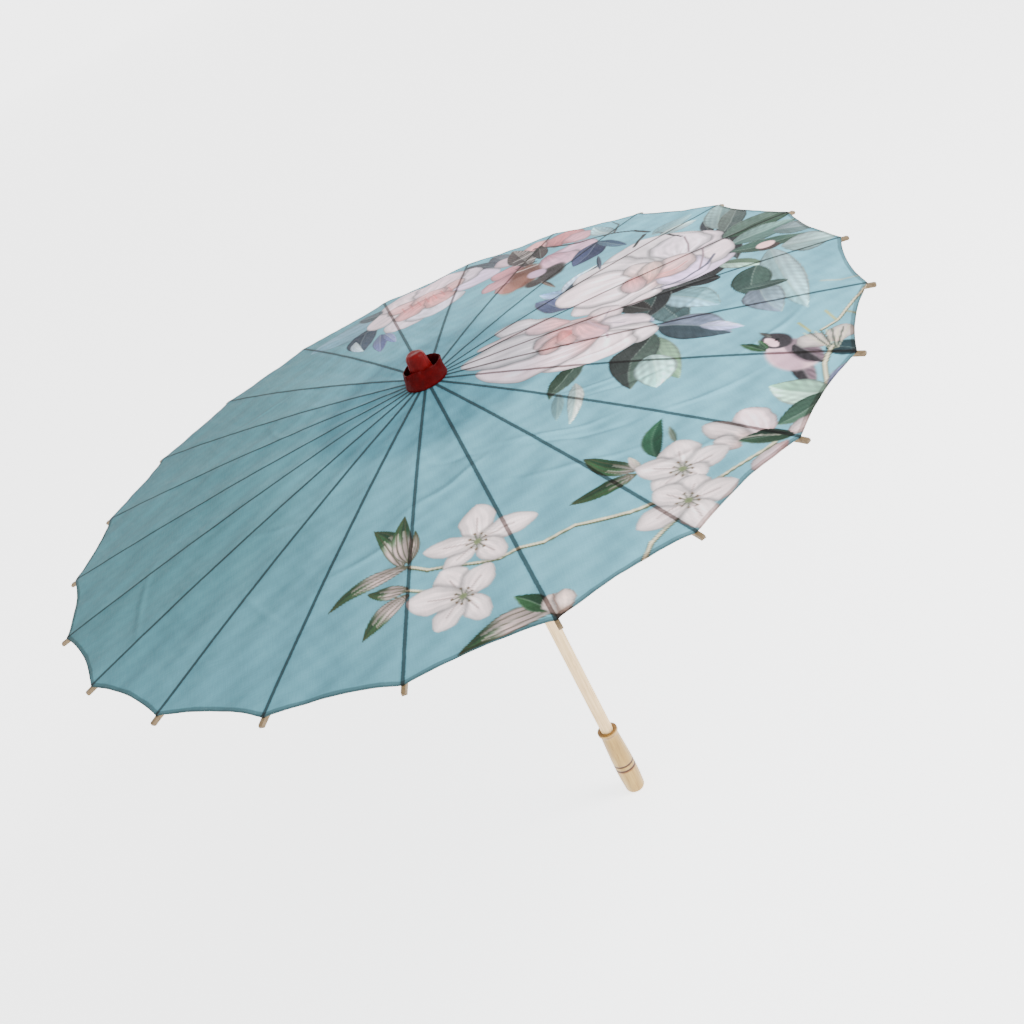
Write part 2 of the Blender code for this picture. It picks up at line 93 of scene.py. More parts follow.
floor_shape = bmesh.new()
sweep = [(0, 0)] + [
    (FLOOR_RADIUS + SWEEP_RADIUS * sin(step * pi / 16), SWEEP_RADIUS * (1 - cos(step * pi / 16)))
    for step in range(9)
]
sweep = [floor_shape.verts.new((radius, 0, height)) for radius, height in sweep]
sweep += [floor_shape.edges.new(pair) for pair in zip(sweep, sweep[1:])]
bmesh.ops.spin(floor_shape, geom=sweep, axis=(0, 0, 1), angle=2 * pi, steps=96, use_merge=True)
bmesh.ops.remove_doubles(floor_shape, verts=floor_shape.verts, dist=1e-5)
bmesh.ops.recalc_face_normals(floor_shape, faces=floor_shape.faces)
if sum(face.normal.z * face.calc_area() for face in floor_shape.faces) < 0:
    bmesh.ops.reverse_faces(floor_shape, faces=floor_shape.faces)
floor_mesh = bpy.data.meshes.new("floor")
floor_shape.to_mesh(floor_mesh)
floor_shape.free()
floor_mesh.shade_smooth()
floor_paint = bpy.data.materials.new("floor_paint")
floor_paint.use_nodes = True
floor_shader = floor_paint.node_tree.nodes["Principled BSDF"]
floor_shader.inputs["Base Color"].default_value = (0.86, 0.86, 0.86, 1.0)
floor_shader.inputs["Roughness"].default_value = 0.9
floor_shader.inputs["Emission Color"].default_value = (1.0, 1.0, 1.0, 1.0)
floor_shader.inputs["Emission Strength"].default_value = 2.4
floor_mesh.materials.append(floor_paint)
floor = bpy.data.objects.new("floor", floor_mesh)
scene.collection.objects.link(floor)

# Handle: one piece of pale hardwood, turned to a swelling grip with a flared rim and two burnt grooves,
# bored from above for the shaft, which is glued in, and finished with a thin varnish.
HANDLE_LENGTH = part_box("handle")[1].z
HANDLE_END_RADIUS = 0.0096
HANDLE_END_ROUND = 0.0036
HANDLE_LOWER_RADIUS = 0.0111
HANDLE_BELLY_RADIUS = 0.01215
HANDLE_BELLY_HEIGHT = 0.0281
HANDLE_NECK_RADIUS = 0.0102
HANDLE_NECK_HEIGHT = 0.0838
HANDLE_RIM_RADIUS = 0.01175
HANDLE_GROOVES = (0.0359, 0.0424)
GROOVE_DEPTH = 0.0007
GROOVE_HALF_WIDTH = 0.0008
SOCKET_RADIUS = 0.0073
SOCKET_FLOOR = 0.0297
SAME_POINT = 1e-6


def linked(tree, value, socket):
    """Sets a socket to a number, or links another socket into it."""
    if isinstance(value, bpy.types.NodeSocket):
        tree.links.new(value, socket)
    else:
        socket.default_value = value


def sum_of(tree, operation, first, second=0.0):
    """One Math node."""
    made = tree.nodes.new("ShaderNodeMath")
    made.operation = operation
    linked(tree, first, made.inputs[0])
    linked(tree, second, made.inputs[1])
    return made.outputs[0]


def eased(tree, value, low, high, out_low, out_high):
    """A value eased from one range to another."""
    made = tree.nodes.new("ShaderNodeMapRange")
    made.interpolation_type = "SMOOTHSTEP"
    ends = (("From Min", low), ("From Max", high), ("To Min", out_low), ("To Max", out_high))
    for name, number in ends:
        made.inputs[name].default_value = number
    linked(tree, value, made.inputs["Value"])
    return made.outputs["Result"]


def noise(tree, place, scale, detail=3.0, roughness=0.5):
    """The strength of a noise pattern at a place."""
    made = tree.nodes.new("ShaderNodeTexNoise")
    linked(tree, place, made.inputs["Vector"])
    made.inputs["Scale"].default_value = scale
    made.inputs["Detail"].default_value = detail
    made.inputs["Roughness"].default_value = roughness
    return made.outputs["Fac"]


def stretched(tree, place, scale, turn=0.0):
    """A place with its axes stretched, so that a pattern there draws out along one of them."""
    made = tree.nodes.new("ShaderNodeMapping")
    made.inputs["Scale"].default_value = scale
    made.inputs["Rotation"].default_value = (0.0, 0.0, radians(turn))
    linked(tree, place, made.inputs["Vector"])
    return made.outputs["Vector"]


def tinted(tree, colour, mask, tint):
    """A colour multiplied by a tint where the mask is 1."""
    made = tree.nodes.new("ShaderNodeMix")
    made.data_type = "RGBA"
    made.blend_type = "MULTIPLY"
    linked(tree, mask, made.inputs[0])
    linked(tree, colour, made.inputs[6])
    made.inputs[7].default_value = (*tint, 1.0)
    return made.outputs[2]


def toned(tree, value, stops):
    """A colour ramp through (position, colour) stops."""
    made = tree.nodes.new("ShaderNodeValToRGB")
    ramp = made.color_ramp
    while len(ramp.elements) < len(stops):
        ramp.elements.new(0.5)
    for element, (position, colour) in zip(ramp.elements, stops):
        element.position = position
        element.color = (*colour, 1.0)
    linked(tree, value, made.inputs["Fac"])
    return made.outputs["Color"]


def raised(tree, height, strength, distance):
    """A bump into the material's shader."""
    made = tree.nodes.new("ShaderNodeBump")
    made.inputs["Strength"].default_value = strength
    made.inputs["Distance"].default_value = distance
    linked(tree, height, made.inputs["Height"])
    tree.links.new(made.outputs["Normal"], tree.nodes["Principled BSDF"].inputs["Normal"])


def new_material(name):
    """A material with its tree and the place on the piece that its patterns read."""
    material = bpy.data.materials.new(name)
    material.use_nodes = True
    tree = material.node_tree
    place = tree.nodes.new("ShaderNodeTexCoord").outputs["Object"]
    return material, tree, tree.nodes["Principled BSDF"], place


def turned_wood_finish(name, tones, grain, roughness, coat, burnt_and_shaded=(), specular=0.3):
    """A wood turned about Z: long grain, short pores, and darker rings at given heights, both burnt lines and
    painted shade.
    """
    material, tree, shader, place = new_material(name)
    streaks = noise(tree, stretched(tree, place, grain), 4.0, 6.0, 0.6)
    pores = noise(tree, stretched(tree, place, (900, 900, 60)), 1.0, 2.0)
    clouds = noise(tree, place, 30.0, 3.0)
    tone = toned(tree, streaks, tones)
    tone = tinted(tree, tone, eased(tree, pores, 0.60, 0.72, 0.0, 0.55), (0.55, 0.42, 0.30))
    tone = tinted(tree, tone, eased(tree, clouds, 0.35, 0.75, 0.0, 0.5), (0.80, 0.72, 0.62))
    parts = tree.nodes.new("ShaderNodeSeparateXYZ")
    tree.links.new(place, parts.inputs[0])
    for height, half, tint in burnt_and_shaded:
        away = sum_of(tree, "ABSOLUTE", sum_of(tree, "SUBTRACT", parts.outputs["Z"], height))
        ragged = sum_of(tree, "MULTIPLY", sum_of(tree, "SUBTRACT", pores, 0.5), 0.0006)
        away = sum_of(tree, "ADD", away, ragged)
        tone = tinted(tree, tone, eased(tree, away, 0.6 * half, 1.25 * half, 1.0, 0.0), tint)
    tree.links.new(tone, shader.inputs["Base Color"])
    gloss = eased(tree, streaks, 0.3, 0.7, roughness + 0.08, roughness - 0.05)
    linked(tree, gloss, shader.inputs["Roughness"])
    raised(tree, sum_of(tree, "ADD", streaks, pores), 0.35, 0.0002)
    shader.inputs["Coat Weight"].default_value = coat
    shader.inputs["Coat Roughness"].default_value = 0.25
    shader.inputs["Specular IOR Level"].default_value = specular
    return material


def turned(profile, steps, closed=False):
    """A solid spun about Z from (radius, height) points."""
    shape = bmesh.new()
    rail = [shape.verts.new((radius, 0, height)) for radius, height in profile]
    ends = rail + rail[:1] if closed else rail
    edges = [shape.edges.new(pair) for pair in zip(ends, ends[1:])]
    bmesh.ops.spin(shape, geom=rail + edges, axis=(0, 0, 1), angle=2 * pi, steps=steps, use_merge=True)
    bmesh.ops.remove_doubles(shape, verts=shape.verts, dist=SAME_POINT)
    bmesh.ops.recalc_face_normals(shape, faces=shape.faces)
    return shape


def finished(name, shape, material, body, replaces=(), sharp=35):
    """One piece of the object, shaded, on its body."""
    if isinstance(shape, bmesh.types.BMesh):
        mesh = bpy.data.meshes.new(name)
        shape.to_mesh(mesh)
        shape.free()
    else:
        mesh = shape
    mesh.shade_smooth()
    mesh.set_sharp_from_angle(angle=radians(sharp))
    mesh.materials.clear()
    mesh.materials.append(material)
    piece = bpy.data.objects.new(name, mesh)
    scene.collection.objects.link(piece)
    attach(piece, body)
    if replaces:
        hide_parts(*replaces)
    return piece


def handle_skin(height):
    """Radius of the turned grip at this height."""
    if height < HANDLE_END_ROUND:
        share = height / HANDLE_END_ROUND
        return HANDLE_END_RADIUS + (HANDLE_LOWER_RADIUS - HANDLE_END_RADIUS) * sin(share * pi / 2) ** 0.7
    if height < HANDLE_BELLY_HEIGHT:
        share = (height - HANDLE_END_ROUND) / (HANDLE_BELLY_HEIGHT - HANDLE_END_ROUND)
        return HANDLE_LOWER_RADIUS + (HANDLE_BELLY_RADIUS - HANDLE_LOWER_RADIUS) * sin(share * pi / 2)
    share = (height - HANDLE_BELLY_HEIGHT) / (HANDLE_NECK_HEIGHT - HANDLE_BELLY_HEIGHT)
    radius = HANDLE_NECK_RADIUS + (HANDLE_BELLY_RADIUS - HANDLE_NECK_RADIUS) * cos(share * pi / 2)
    for groove in HANDLE_GROOVES:
        radius -= GROOVE_DEPTH * exp(-(((height - groove) / GROOVE_HALF_WIDTH) ** 2))
    return radius


handle_burns_and_shade = [(groove, 0.0014, (0.17, 0.09, 0.05)) for groove in HANDLE_GROOVES]
handle_burns_and_shade += [
    (HANDLE_GROOVES[0] - 0.0016, 0.0012, (0.62, 0.42, 0.28)),
    # Painted shade: these two rings darken the wood under the rim's flare and along its top edge.
    (HANDLE_LENGTH - 0.0042, 0.0013, (0.50, 0.38, 0.27)),
    (HANDLE_LENGTH, 0.0009, (0.62, 0.50, 0.38)),
]
handle_wood = turned_wood_finish(
    "varnished_handle_wood",
    ((0.30, (0.25, 0.140, 0.028)), (0.55, (0.36, 0.215, 0.046)), (0.75, (0.45, 0.285, 0.070))),
    (80, 80, 7), 0.36, 0.25, handle_burns_and_shade,
)
skin_steps = 120
skin = [
    (handle_skin(HANDLE_NECK_HEIGHT * step / skin_steps), HANDLE_NECK_HEIGHT * step / skin_steps)
    for step in range(skin_steps + 1)
]
rim_foot = HANDLE_LENGTH - 0.0038
rim = [
    (HANDLE_NECK_RADIUS + 0.00015, rim_foot - 0.0022),
    (HANDLE_NECK_RADIUS + 0.00055, rim_foot - 0.0010),
    (HANDLE_RIM_RADIUS - 0.0004, rim_foot),
    (HANDLE_RIM_RADIUS, rim_foot + 0.0006),
    (HANDLE_RIM_RADIUS, HANDLE_LENGTH - 0.0012),
    (HANDLE_RIM_RADIUS - 0.0003, HANDLE_LENGTH - 0.0004),
    (HANDLE_RIM_RADIUS - 0.0011, HANDLE_LENGTH),
    (SOCKET_RADIUS + 0.0008, HANDLE_LENGTH),
    (SOCKET_RADIUS, HANDLE_LENGTH - 0.0008),
    (SOCKET_RADIUS, SOCKET_FLOOR),
    (0, SOCKET_FLOOR),
]
finished("grip", turned([(0, 0)] + skin + rim, 72), handle_wood, "root", ["handle"])

# Shaft: a smooth pale dowel glued into the handle, drilled for the hub's cross pin and the stop peg, and
# slotted on one side for the catch spring.
SHAFT_RADIUS = 0.0070
PEG_HOLE_RADIUS = 0.0013
SHAFT_BEVEL = 0.0006
CATCH_SLOT_HALF_WIDTH = 0.0019
CATCH_SLOT_ROOM = 0.0003
CATCH_SLOT_LENGTH = 0.0440
shaft_low, shaft_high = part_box("shaft")
catch_low, catch_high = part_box("catch_spring")
peg_height = sum(corner.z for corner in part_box("stop_peg")) / 2
hub_pin_height = sum(corner.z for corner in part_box("hub_pin")) / 2


def cross_rod(radius, length, height, sides=24, rounding=0.0):
    """A round rod through the shaft's axis, along Y."""
    shape = bmesh.new()
    turn = Matrix.Translation((0, 0, height)) @ Matrix.Rotation(pi / 2, 4, "X")
    bmesh.ops.create_cone(
        shape, cap_ends=True, segments=sides, radius1=radius, radius2=radius, depth=length, matrix=turn
    )
    if rounding:
        rims = [
            edge for edge in shape.edges
            if abs(abs(edge.verts[0].co.y + edge.verts[1].co.y) - length) < SAME_POINT
        ]
        bmesh.ops.bevel(
            shape, geom=rims, offset=rounding, segments=3, profile=0.5, affect="EDGES", material=-1
        )
    return shape


def block(low, high):
    """A box between two corners."""
    shape = bmesh.new()
    size = Matrix.Diagonal([b - a for a, b in zip(low, high)]).to_4x4()
    middle = [(a + b) / 2 for a, b in zip(low, high)]
    bmesh.ops.create_cube(shape, size=1, matrix=Matrix.Translation(middle) @ size)
    return shape


def cut(shape, *tools, operation="DIFFERENCE"):
    """The shape after each tool has been cut from it, or joined to it."""
    mesh = bpy.data.meshes.new("cut")
    shape.to_mesh(mesh)
    shape.free()
    for tool in tools:
        tool_mesh = bpy.data.meshes.new("tool")
        tool.to_mesh(tool_mesh)
        tool.free()
        body = bpy.data.objects.new("body", mesh)
        helper = bpy.data.objects.new("helper", tool_mesh)
        for thing in (body, helper):
            scene.collection.objects.link(thing)
        step = body.modifiers.new("step", "BOOLEAN")
        step.operation = operation
        step.object = helper
        worked = bpy.data.meshes.new_from_object(body.evaluated_get(bpy.context.evaluated_depsgraph_get()))
        for thing in (body, helper):
            bpy.data.objects.remove(thing)
        for spent in (mesh, tool_mesh):
            bpy.data.meshes.remove(spent)
        mesh = worked
    cleaned = bmesh.new()
    cleaned.from_mesh(mesh)
    bpy.data.meshes.remove(mesh)
    bmesh.ops.remove_doubles(cleaned, verts=cleaned.verts, dist=SAME_POINT)
    return cleaned


shaft_wood = turned_wood_finish(
    "pale_shaft_wood",
    ((0.30, (0.53, 0.350, 0.155)), (0.50, (0.69, 0.480, 0.240)), (0.75, (0.80, 0.590, 0.320))),
    (110, 110, 5), 0.42, 0.08,
)
shaft_profile = [
    (0, shaft_low.z), (SHAFT_RADIUS - SHAFT_BEVEL, shaft_low.z), (SHAFT_RADIUS, shaft_low.z + SHAFT_BEVEL),
    (SHAFT_RADIUS, shaft_high.z - SHAFT_BEVEL), (SHAFT_RADIUS - SHAFT_BEVEL, shaft_high.z), (0, shaft_high.z),
]
shaft = cut(
    turned(shaft_profile, 64),
    cross_rod(PEG_HOLE_RADIUS, 4 * SHAFT_RADIUS, hub_pin_height),
    cross_rod(PEG_HOLE_RADIUS, 4 * SHAFT_RADIUS, peg_height),
    block(
        (-SHAFT_RADIUS / 2, -CATCH_SLOT_HALF_WIDTH, catch_low.z - CATCH_SLOT_ROOM),
        (2 * SHAFT_RADIUS, CATCH_SLOT_HALF_WIDTH, catch_low.z - CATCH_SLOT_ROOM + CATCH_SLOT_LENGTH),
    ),
)
finished("shaft_dowel", shaft, shaft_wood, "root", ["shaft"])

# Top hub and runner: turned rings with a slot for each link and a groove for the thread that strings
# them. The hub is pinned to the shaft, the runner has a long barrel and slides until the stop peg.
RIB_COUNT = 22
PITCH = 2 * pi / RIB_COUNT
PIVOT_RADIUS = 0.0175
PIVOT_HEIGHT = 0.5542
HUB_RIM_RADIUS = 0.0195
HUB_SLOT_FLOOR = 0.0142
HUB_SLOT_END = 0.0215
HUB_SLOT_HALF_WIDTH = 0.0013
SLOT_PAST_PIVOT = 0.0046
SLOT_PAST_FACE = 0.0040
HUB_BOSS_RADIUS = 0.0096
RUNNER_BORE = 0.0074
BARREL_RADIUS = 0.0110
THREAD_GROOVE = (0.01675, 0.02025, 0.00075)
HUB_FREE_SIDE = 0.0040
HUB_CLOTH_SIDE = 0.0023
hub_low, hub_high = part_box("top_hub")
runner_low, runner_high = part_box("runner")
foot_height = runner_high.z - HUB_FREE_SIDE


def slotted(profile, low, high, middle, *tools):
    """A turned ring with a slot for each link between two heights, and its thread groove."""
    inner, outer, lip = THREAD_GROOVE
    groove = turned(
        [(inner, middle - lip), (outer, middle - lip), (outer, middle + lip), (inner, middle + lip)], 88, True
    )
    slots = bmesh.new()
    for number in range(RIB_COUNT):
        one = block((HUB_SLOT_FLOOR, -HUB_SLOT_HALF_WIDTH, low), (HUB_SLOT_END, HUB_SLOT_HALF_WIDTH, high))
        bmesh.ops.rotate(one, verts=one.verts, matrix=Matrix.Rotation(number * PITCH, 3, "Z"))
        mesh = bpy.data.meshes.new("slot")
        one.to_mesh(mesh)
        one.free()
        slots.from_mesh(mesh)
        bpy.data.meshes.remove(mesh)
    return cut(turned(profile, 88, closed=True), groove, slots, *tools)


def rounded(points, radius=0.0005):
    """A turning profile with each corner cut by a small round."""
    softened = []
    for number, corner in enumerate(points):
        corner = Vector(corner)
        before = Vector(points[number - 1])
        after = Vector(points[(number + 1) % len(points)])
        start = corner + (before - corner).normalized() * min(radius, (before - corner).length * 0.4)
        end = corner + (after - corner).normalized() * min(radius, (after - corner).length * 0.4)
        middle = (start + end) * 0.25 + corner * 0.5
        softened += [tuple(start), tuple(middle), tuple(end)]
    return softened


hub_wood = turned_wood_finish(
    "raw_hub_wood",
    ((0.30, (0.22, 0.130, 0.050)), (0.52, (0.32, 0.200, 0.085)), (0.75, (0.42, 0.280, 0.130))),
    (90, 90, 12), 0.55, 0.0,
)
hub_profile = rounded([
    (SOCKET_RADIUS, hub_low.z), (HUB_RIM_RADIUS, hub_low.z), (HUB_RIM_RADIUS, PIVOT_HEIGHT + HUB_CLOTH_SIDE),
    (HUB_BOSS_RADIUS, PIVOT_HEIGHT + HUB_CLOTH_SIDE), (HUB_BOSS_RADIUS, hub_high.z),
    (SOCKET_RADIUS, hub_high.z),
])
hub = slotted(
    hub_profile, hub_low.z - SLOT_PAST_FACE, PIVOT_HEIGHT + SLOT_PAST_PIVOT, PIVOT_HEIGHT,
    cross_rod(PEG_HOLE_RADIUS, 4 * SHAFT_RADIUS, hub_pin_height),
)
finished("hub", hub, hub_wood, "root", ["top_hub"], 30)
barrel_steps = (
    (0.0009, 0.0), (0.0012, 0.0008), (0.0012, 0.0036), (0.0, 0.0052), (0.0, 0.0125), (-0.0005, 0.0131),
    (0.0, 0.0137), (0.0, 0.0155), (-0.0005, 0.0161), (0.0, 0.0167),
)
runner_profile = rounded(
    [(RUNNER_BORE, runner_low.z)]
    + [(BARREL_RADIUS + proud, runner_low.z + height) for proud, height in barrel_steps]
    + [(BARREL_RADIUS, foot_height - HUB_CLOTH_SIDE), (HUB_RIM_RADIUS, foot_height - HUB_CLOTH_SIDE)]
    + [(HUB_RIM_RADIUS, runner_high.z), (RUNNER_BORE, runner_high.z)],
    0.0004,
)
runner = slotted(
    runner_profile, foot_height - SLOT_PAST_PIVOT, runner_high.z + SLOT_PAST_FACE, foot_height
)
finished("runner_ring", runner, hub_wood, "runner", ["runner"], 30)

# Pins and threads: the hub's pin and the stop peg are bamboo splints, rounded at their ends, and a
# twisted cotton thread strings the ribs to the hub and the stretchers to the runner.
PIN_RADIUS = 0.0010
THREAD_RADIUS = 0.00045


def bamboo_finish(name, tones, roughness=0.5, nodes_every=0.0):
    """Split bamboo: fibres run outwards from the shaft, with a darker joint every so often."""
    material, tree, shader, place = new_material(name)
    parts = tree.nodes.new("ShaderNodeSeparateXYZ")
    tree.links.new(place, parts.inputs[0])
    x, y, z = parts.outputs["X"], parts.outputs["Y"], parts.outputs["Z"]
    squares = [sum_of(tree, "MULTIPLY", part, part) for part in (x, y)]
    radius = sum_of(tree, "SQRT", sum_of(tree, "ADD", *squares))
    bearing = sum_of(tree, "ARCTAN2", y, x)
    fibres = tree.nodes.new("ShaderNodeCombineXYZ")
    linked(tree, sum_of(tree, "MULTIPLY", radius, 14.0), fibres.inputs["X"])
    around = sum_of(tree, "MULTIPLY", bearing, radius)
    linked(tree, sum_of(tree, "MULTIPLY", around, 900.0), fibres.inputs["Y"])
    linked(tree, sum_of(tree, "MULTIPLY", z, 700.0), fibres.inputs["Z"])
    streaks = noise(tree, fibres.outputs[0], 1.0, 4.0, 0.6)
    each = noise(tree, stretched(tree, place, (1, 1, 1)), 26.0, 2.0)
    tone = toned(tree, streaks, tones)
    tone = tinted(tree, tone, eased(tree, each, 0.35, 0.7, 0.0, 0.7), (0.78, 0.70, 0.58))
    tone = tinted(tree, tone, eased(tree, radius, 0.398, 0.404, 0.0, 1.0), (0.56, 0.58, 0.62))
    if nodes_every:
        along = sum_of(tree, "DIVIDE", radius, nodes_every)
        away = sum_of(tree, "ABSOLUTE", sum_of(tree, "SUBTRACT", sum_of(tree, "FRACT", along), 0.5))
        tone = tinted(tree, tone, eased(tree, away, 0.006, 0.022, 0.8, 0.0), (0.45, 0.33, 0.22))
    tree.links.new(tone, shader.inputs["Base Color"])
    gloss = eased(tree, streaks, 0.3, 0.7, roughness + 0.1, roughness - 0.06)
    linked(tree, gloss, shader.inputs["Roughness"])
    raised(tree, streaks, 0.4, 0.0002)
    shader.inputs["Specular IOR Level"].default_value = 0.3
    return material


bamboo = bamboo_finish(
    "split_bamboo",
    ((0.30, (0.14, 0.088, 0.038)), (0.50, (0.22, 0.145, 0.066)), (0.75, (0.31, 0.215, 0.105))), 0.5, 0.088,
)
pins = (("cross_pin", "hub_pin", hub_pin_height, 0.0002), ("runner_stop", "stop_peg", peg_height, 0.0004))
for name, node, height, rounding in pins:
    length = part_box(node)[1].y * 2
    splint = cross_rod(PIN_RADIUS, length, height, 24, rounding)
    finished(name, splint, bamboo, "root", [node])

cotton, tree, shader, place = new_material("cotton_thread")
parts = tree.nodes.new("ShaderNodeSeparateXYZ")
tree.links.new(place, parts.inputs[0])
around = sum_of(tree, "ARCTAN2", parts.outputs["Y"], parts.outputs["X"])
lay_angle = sum_of(tree, "MULTIPLY", around, 120.0)
rise = sum_of(tree, "MULTIPLY", parts.outputs["Z"], 5200.0)
twist = sum_of(tree, "SINE", sum_of(tree, "ADD", lay_angle, rise))
strand = eased(tree, twist, -1.0, 1.0, 0.0, 1.0)
tree.links.new(
    toned(tree, strand, ((0.0, (0.30, 0.27, 0.22)), (1.0, (0.62, 0.58, 0.50)))), shader.inputs["Base Color"]
)
shader.inputs["Roughness"].default_value = 0.85
shader.inputs["Specular IOR Level"].default_value = 0.2
raised(tree, twist, 0.6, 0.0002)
for name, body, height in (("rib_thread", "root", PIVOT_HEIGHT), ("stretcher_thread", "runner", foot_height)):
    ring = turned(
        [
            (PIVOT_RADIUS + THREAD_RADIUS * cos(side * pi / 5), height + THREAD_RADIUS * sin(side * pi / 5))
            for side in range(10)
        ],
        176, closed=True,
    )
    finished(name + "_cord", ring, cotton, body, [name])

# Catch: a strip of spring steel bent to a nose, held in the shaft's slot by its root. It holds the open
# runner up, and is pressed in to let it down.
CATCH_STEEL = 0.0009
CATCH_WIDTH = 0.0032
CATCH_EDGE = 0.00015
CATCH_ROOT = 0.0045
steel, tree, shader, place = new_material("spring_steel")
brushed = noise(tree, stretched(tree, place, (2600, 2600, 90)), 1.0, 3.0)
tree.links.new(
    toned(tree, brushed, ((0.3, (0.30, 0.29, 0.27)), (0.7, (0.56, 0.55, 0.52)))), shader.inputs["Base Color"]
)
linked(tree, eased(tree, brushed, 0.3, 0.7, 0.42, 0.28), shader.inputs["Roughness"])
shader.inputs["Metallic"].default_value = 1.0
raised(tree, brushed, 0.2, 0.0001)
root_top = catch_low.z + CATCH_ROOT
catch_line = [
    (-CATCH_STEEL, catch_low.z), (CATCH_STEEL, catch_low.z), (CATCH_STEEL, root_top),
    (catch_high.x, catch_high.z - CATCH_STEEL), (catch_high.x, catch_high.z),
    (SHAFT_RADIUS / 2, catch_high.z), (SHAFT_RADIUS / 2, catch_high.z - CATCH_STEEL),
    (catch_high.x - 2 * CATCH_STEEL, catch_high.z - CATCH_STEEL), (0, root_top), (-CATCH_STEEL, root_top),
]


def plate(outline, width, rounding, segments=2):
    """A strip of this X-Z outline, this wide about the X-Z plane, with its long edges rounded."""
    shape = bmesh.new()
    face = shape.faces.new([shape.verts.new((x, -width / 2, z)) for x, z in outline])
    grown = bmesh.ops.extrude_face_region(shape, geom=[face])
    moved = [part for part in grown["geom"] if isinstance(part, bmesh.types.BMVert)]
    bmesh.ops.translate(shape, verts=moved, vec=(0, width, 0))
    bmesh.ops.recalc_face_normals(shape, faces=shape.faces)
    if rounding:
        rims = [
            edge for edge in shape.edges if abs(edge.verts[0].co.y - edge.verts[1].co.y) < SAME_POINT
        ]
        bmesh.ops.bevel(
            shape, geom=rims, offset=rounding, segments=segments, profile=0.5, affect="EDGES", material=-1,
            clamp_overlap=True,
        )
    return shape


catch = plate(catch_line, CATCH_WIDTH, CATCH_EDGE)
finished("catch_strip", catch, steel, "catch", ["catch_spring"], 40)

# Ribs: split bamboo, 22 of them, each planed square with its edges eased, bowed a little, deeper where a
# slot takes the stretcher's tongue, thinner to its tip, and cut to a tongue with an eye at its root.
RIB_WIDTH = 0.0036
RIB_DEPTH = 0.0050
RIB_TIP_DEPTH = 0.0036
RIB_EDGE = 0.0005
RIB_TIP_ROUND = 0.0012
RIB_KNOTS = (0.044, 0.220, 0.308, 0.396)
KNOT_SPREAD = 0.0022
RIB_JOINT_RADIUS = 0.1315
RIB_JOINT_COVER = 0.0100
RIB_JOINT_SWELL = 0.0140
TONGUE_LENGTH = 0.00547
TONGUE_HALF_DEPTH = 0.0022
TONGUE_BITE = 0.0006
EYE_RADIUS = 0.0009
STRETCHER_HOLE_RADIUS = 0.0010
SPREAD_RADIUS = 0.410
CANOPY_DROP = 0.0399
RIB_CROWN = 0.0043
RIB_TOP_AT_PIVOT = 0.5567


def rib_top(radius):
    """Height of a rib's upper edge at this distance from the shaft."""
    share = (radius - PIVOT_RADIUS) / (SPREAD_RADIUS - PIVOT_RADIUS)
    return RIB_TOP_AT_PIVOT - CANOPY_DROP * share + 4 * RIB_CROWN * share * (1 - share)


def tongue(length):
    """Outline of a tongue round the origin that runs this far along +X."""
    nose = [
        (TONGUE_HALF_DEPTH * cos(pi / 2 + step * pi / 10), TONGUE_HALF_DEPTH * sin(pi / 2 + step * pi / 10))
        for step in range(11)
    ]
    return nose + [(length, -TONGUE_HALF_DEPTH), (length, TONGUE_HALF_DEPTH)]


def rib_depth(radius):
    """How deep a rib is here, with a slight swelling at each joint of the bamboo."""
    outer = RIB_JOINT_RADIUS + RIB_JOINT_SWELL
    depth = RIB_DEPTH + (RIB_TIP_DEPTH - RIB_DEPTH) * max(0.0, (radius - outer) / (SPREAD_RADIUS - outer))
    for knot in RIB_KNOTS:
        depth += 0.0003 * exp(-(((radius - knot) / KNOT_SPREAD) ** 2))
    boss = abs(radius - RIB_JOINT_RADIUS)
    if boss < RIB_JOINT_SWELL:
        depth = max(depth, RIB_DEPTH + 0.0065 * min(1.0, (RIB_JOINT_SWELL - boss) / 0.0100))
    return depth


start = PIVOT_RADIUS + TONGUE_LENGTH
end = SPREAD_RADIUS
stations = sorted(
    [start + (end - RIB_TIP_ROUND - start) * step / 72 for step in range(73)]
    + [RIB_JOINT_RADIUS + side * reach for side in (-1, 1) for reach in (0.0040, RIB_JOINT_SWELL)]
    + [knot + shift for knot in RIB_KNOTS for shift in (-KNOT_SPREAD, 0.0, KNOT_SPREAD)]
)
upper = [(radius - PIVOT_RADIUS, rib_top(radius) - PIVOT_HEIGHT) for radius in stations]
lower = [(radius - PIVOT_RADIUS, rib_top(radius) - PIVOT_HEIGHT - rib_depth(radius)) for radius in stations]
tip = end - PIVOT_RADIUS
nose = [(tip, upper[-1][1] - 0.0009), (tip, lower[-1][1] + 0.0009)]
joint = (RIB_JOINT_RADIUS - PIVOT_RADIUS, rib_top(RIB_JOINT_RADIUS) - RIB_JOINT_COVER - PIVOT_HEIGHT)
rib_shape = plate(upper + nose + lower[::-1], RIB_WIDTH, RIB_EDGE)
root_tongue = plate(tongue(TONGUE_LENGTH + TONGUE_BITE), 0.0020, 0.0)


def side_hole(radius, place):
    """A round hole's tool, along Y at a place in the X-Z plane."""
    shape = cross_rod(radius, 2 * RIB_WIDTH, place[1], 16)
    bmesh.ops.translate(shape, verts=shape.verts, vec=(place[0], 0, 0))
    return shape


rib_shape = cut(rib_shape, root_tongue, operation="UNION")
reach = RIB_JOINT_SWELL + RIB_WIDTH
rib_shape = cut(
    rib_shape, side_hole(EYE_RADIUS, (0, 0)), side_hole(STRETCHER_HOLE_RADIUS, joint),
    block((joint[0] - reach, -0.0008, joint[1] - 0.0130), (joint[0] + reach, 0.0008, joint[1] + 0.0035)),
)


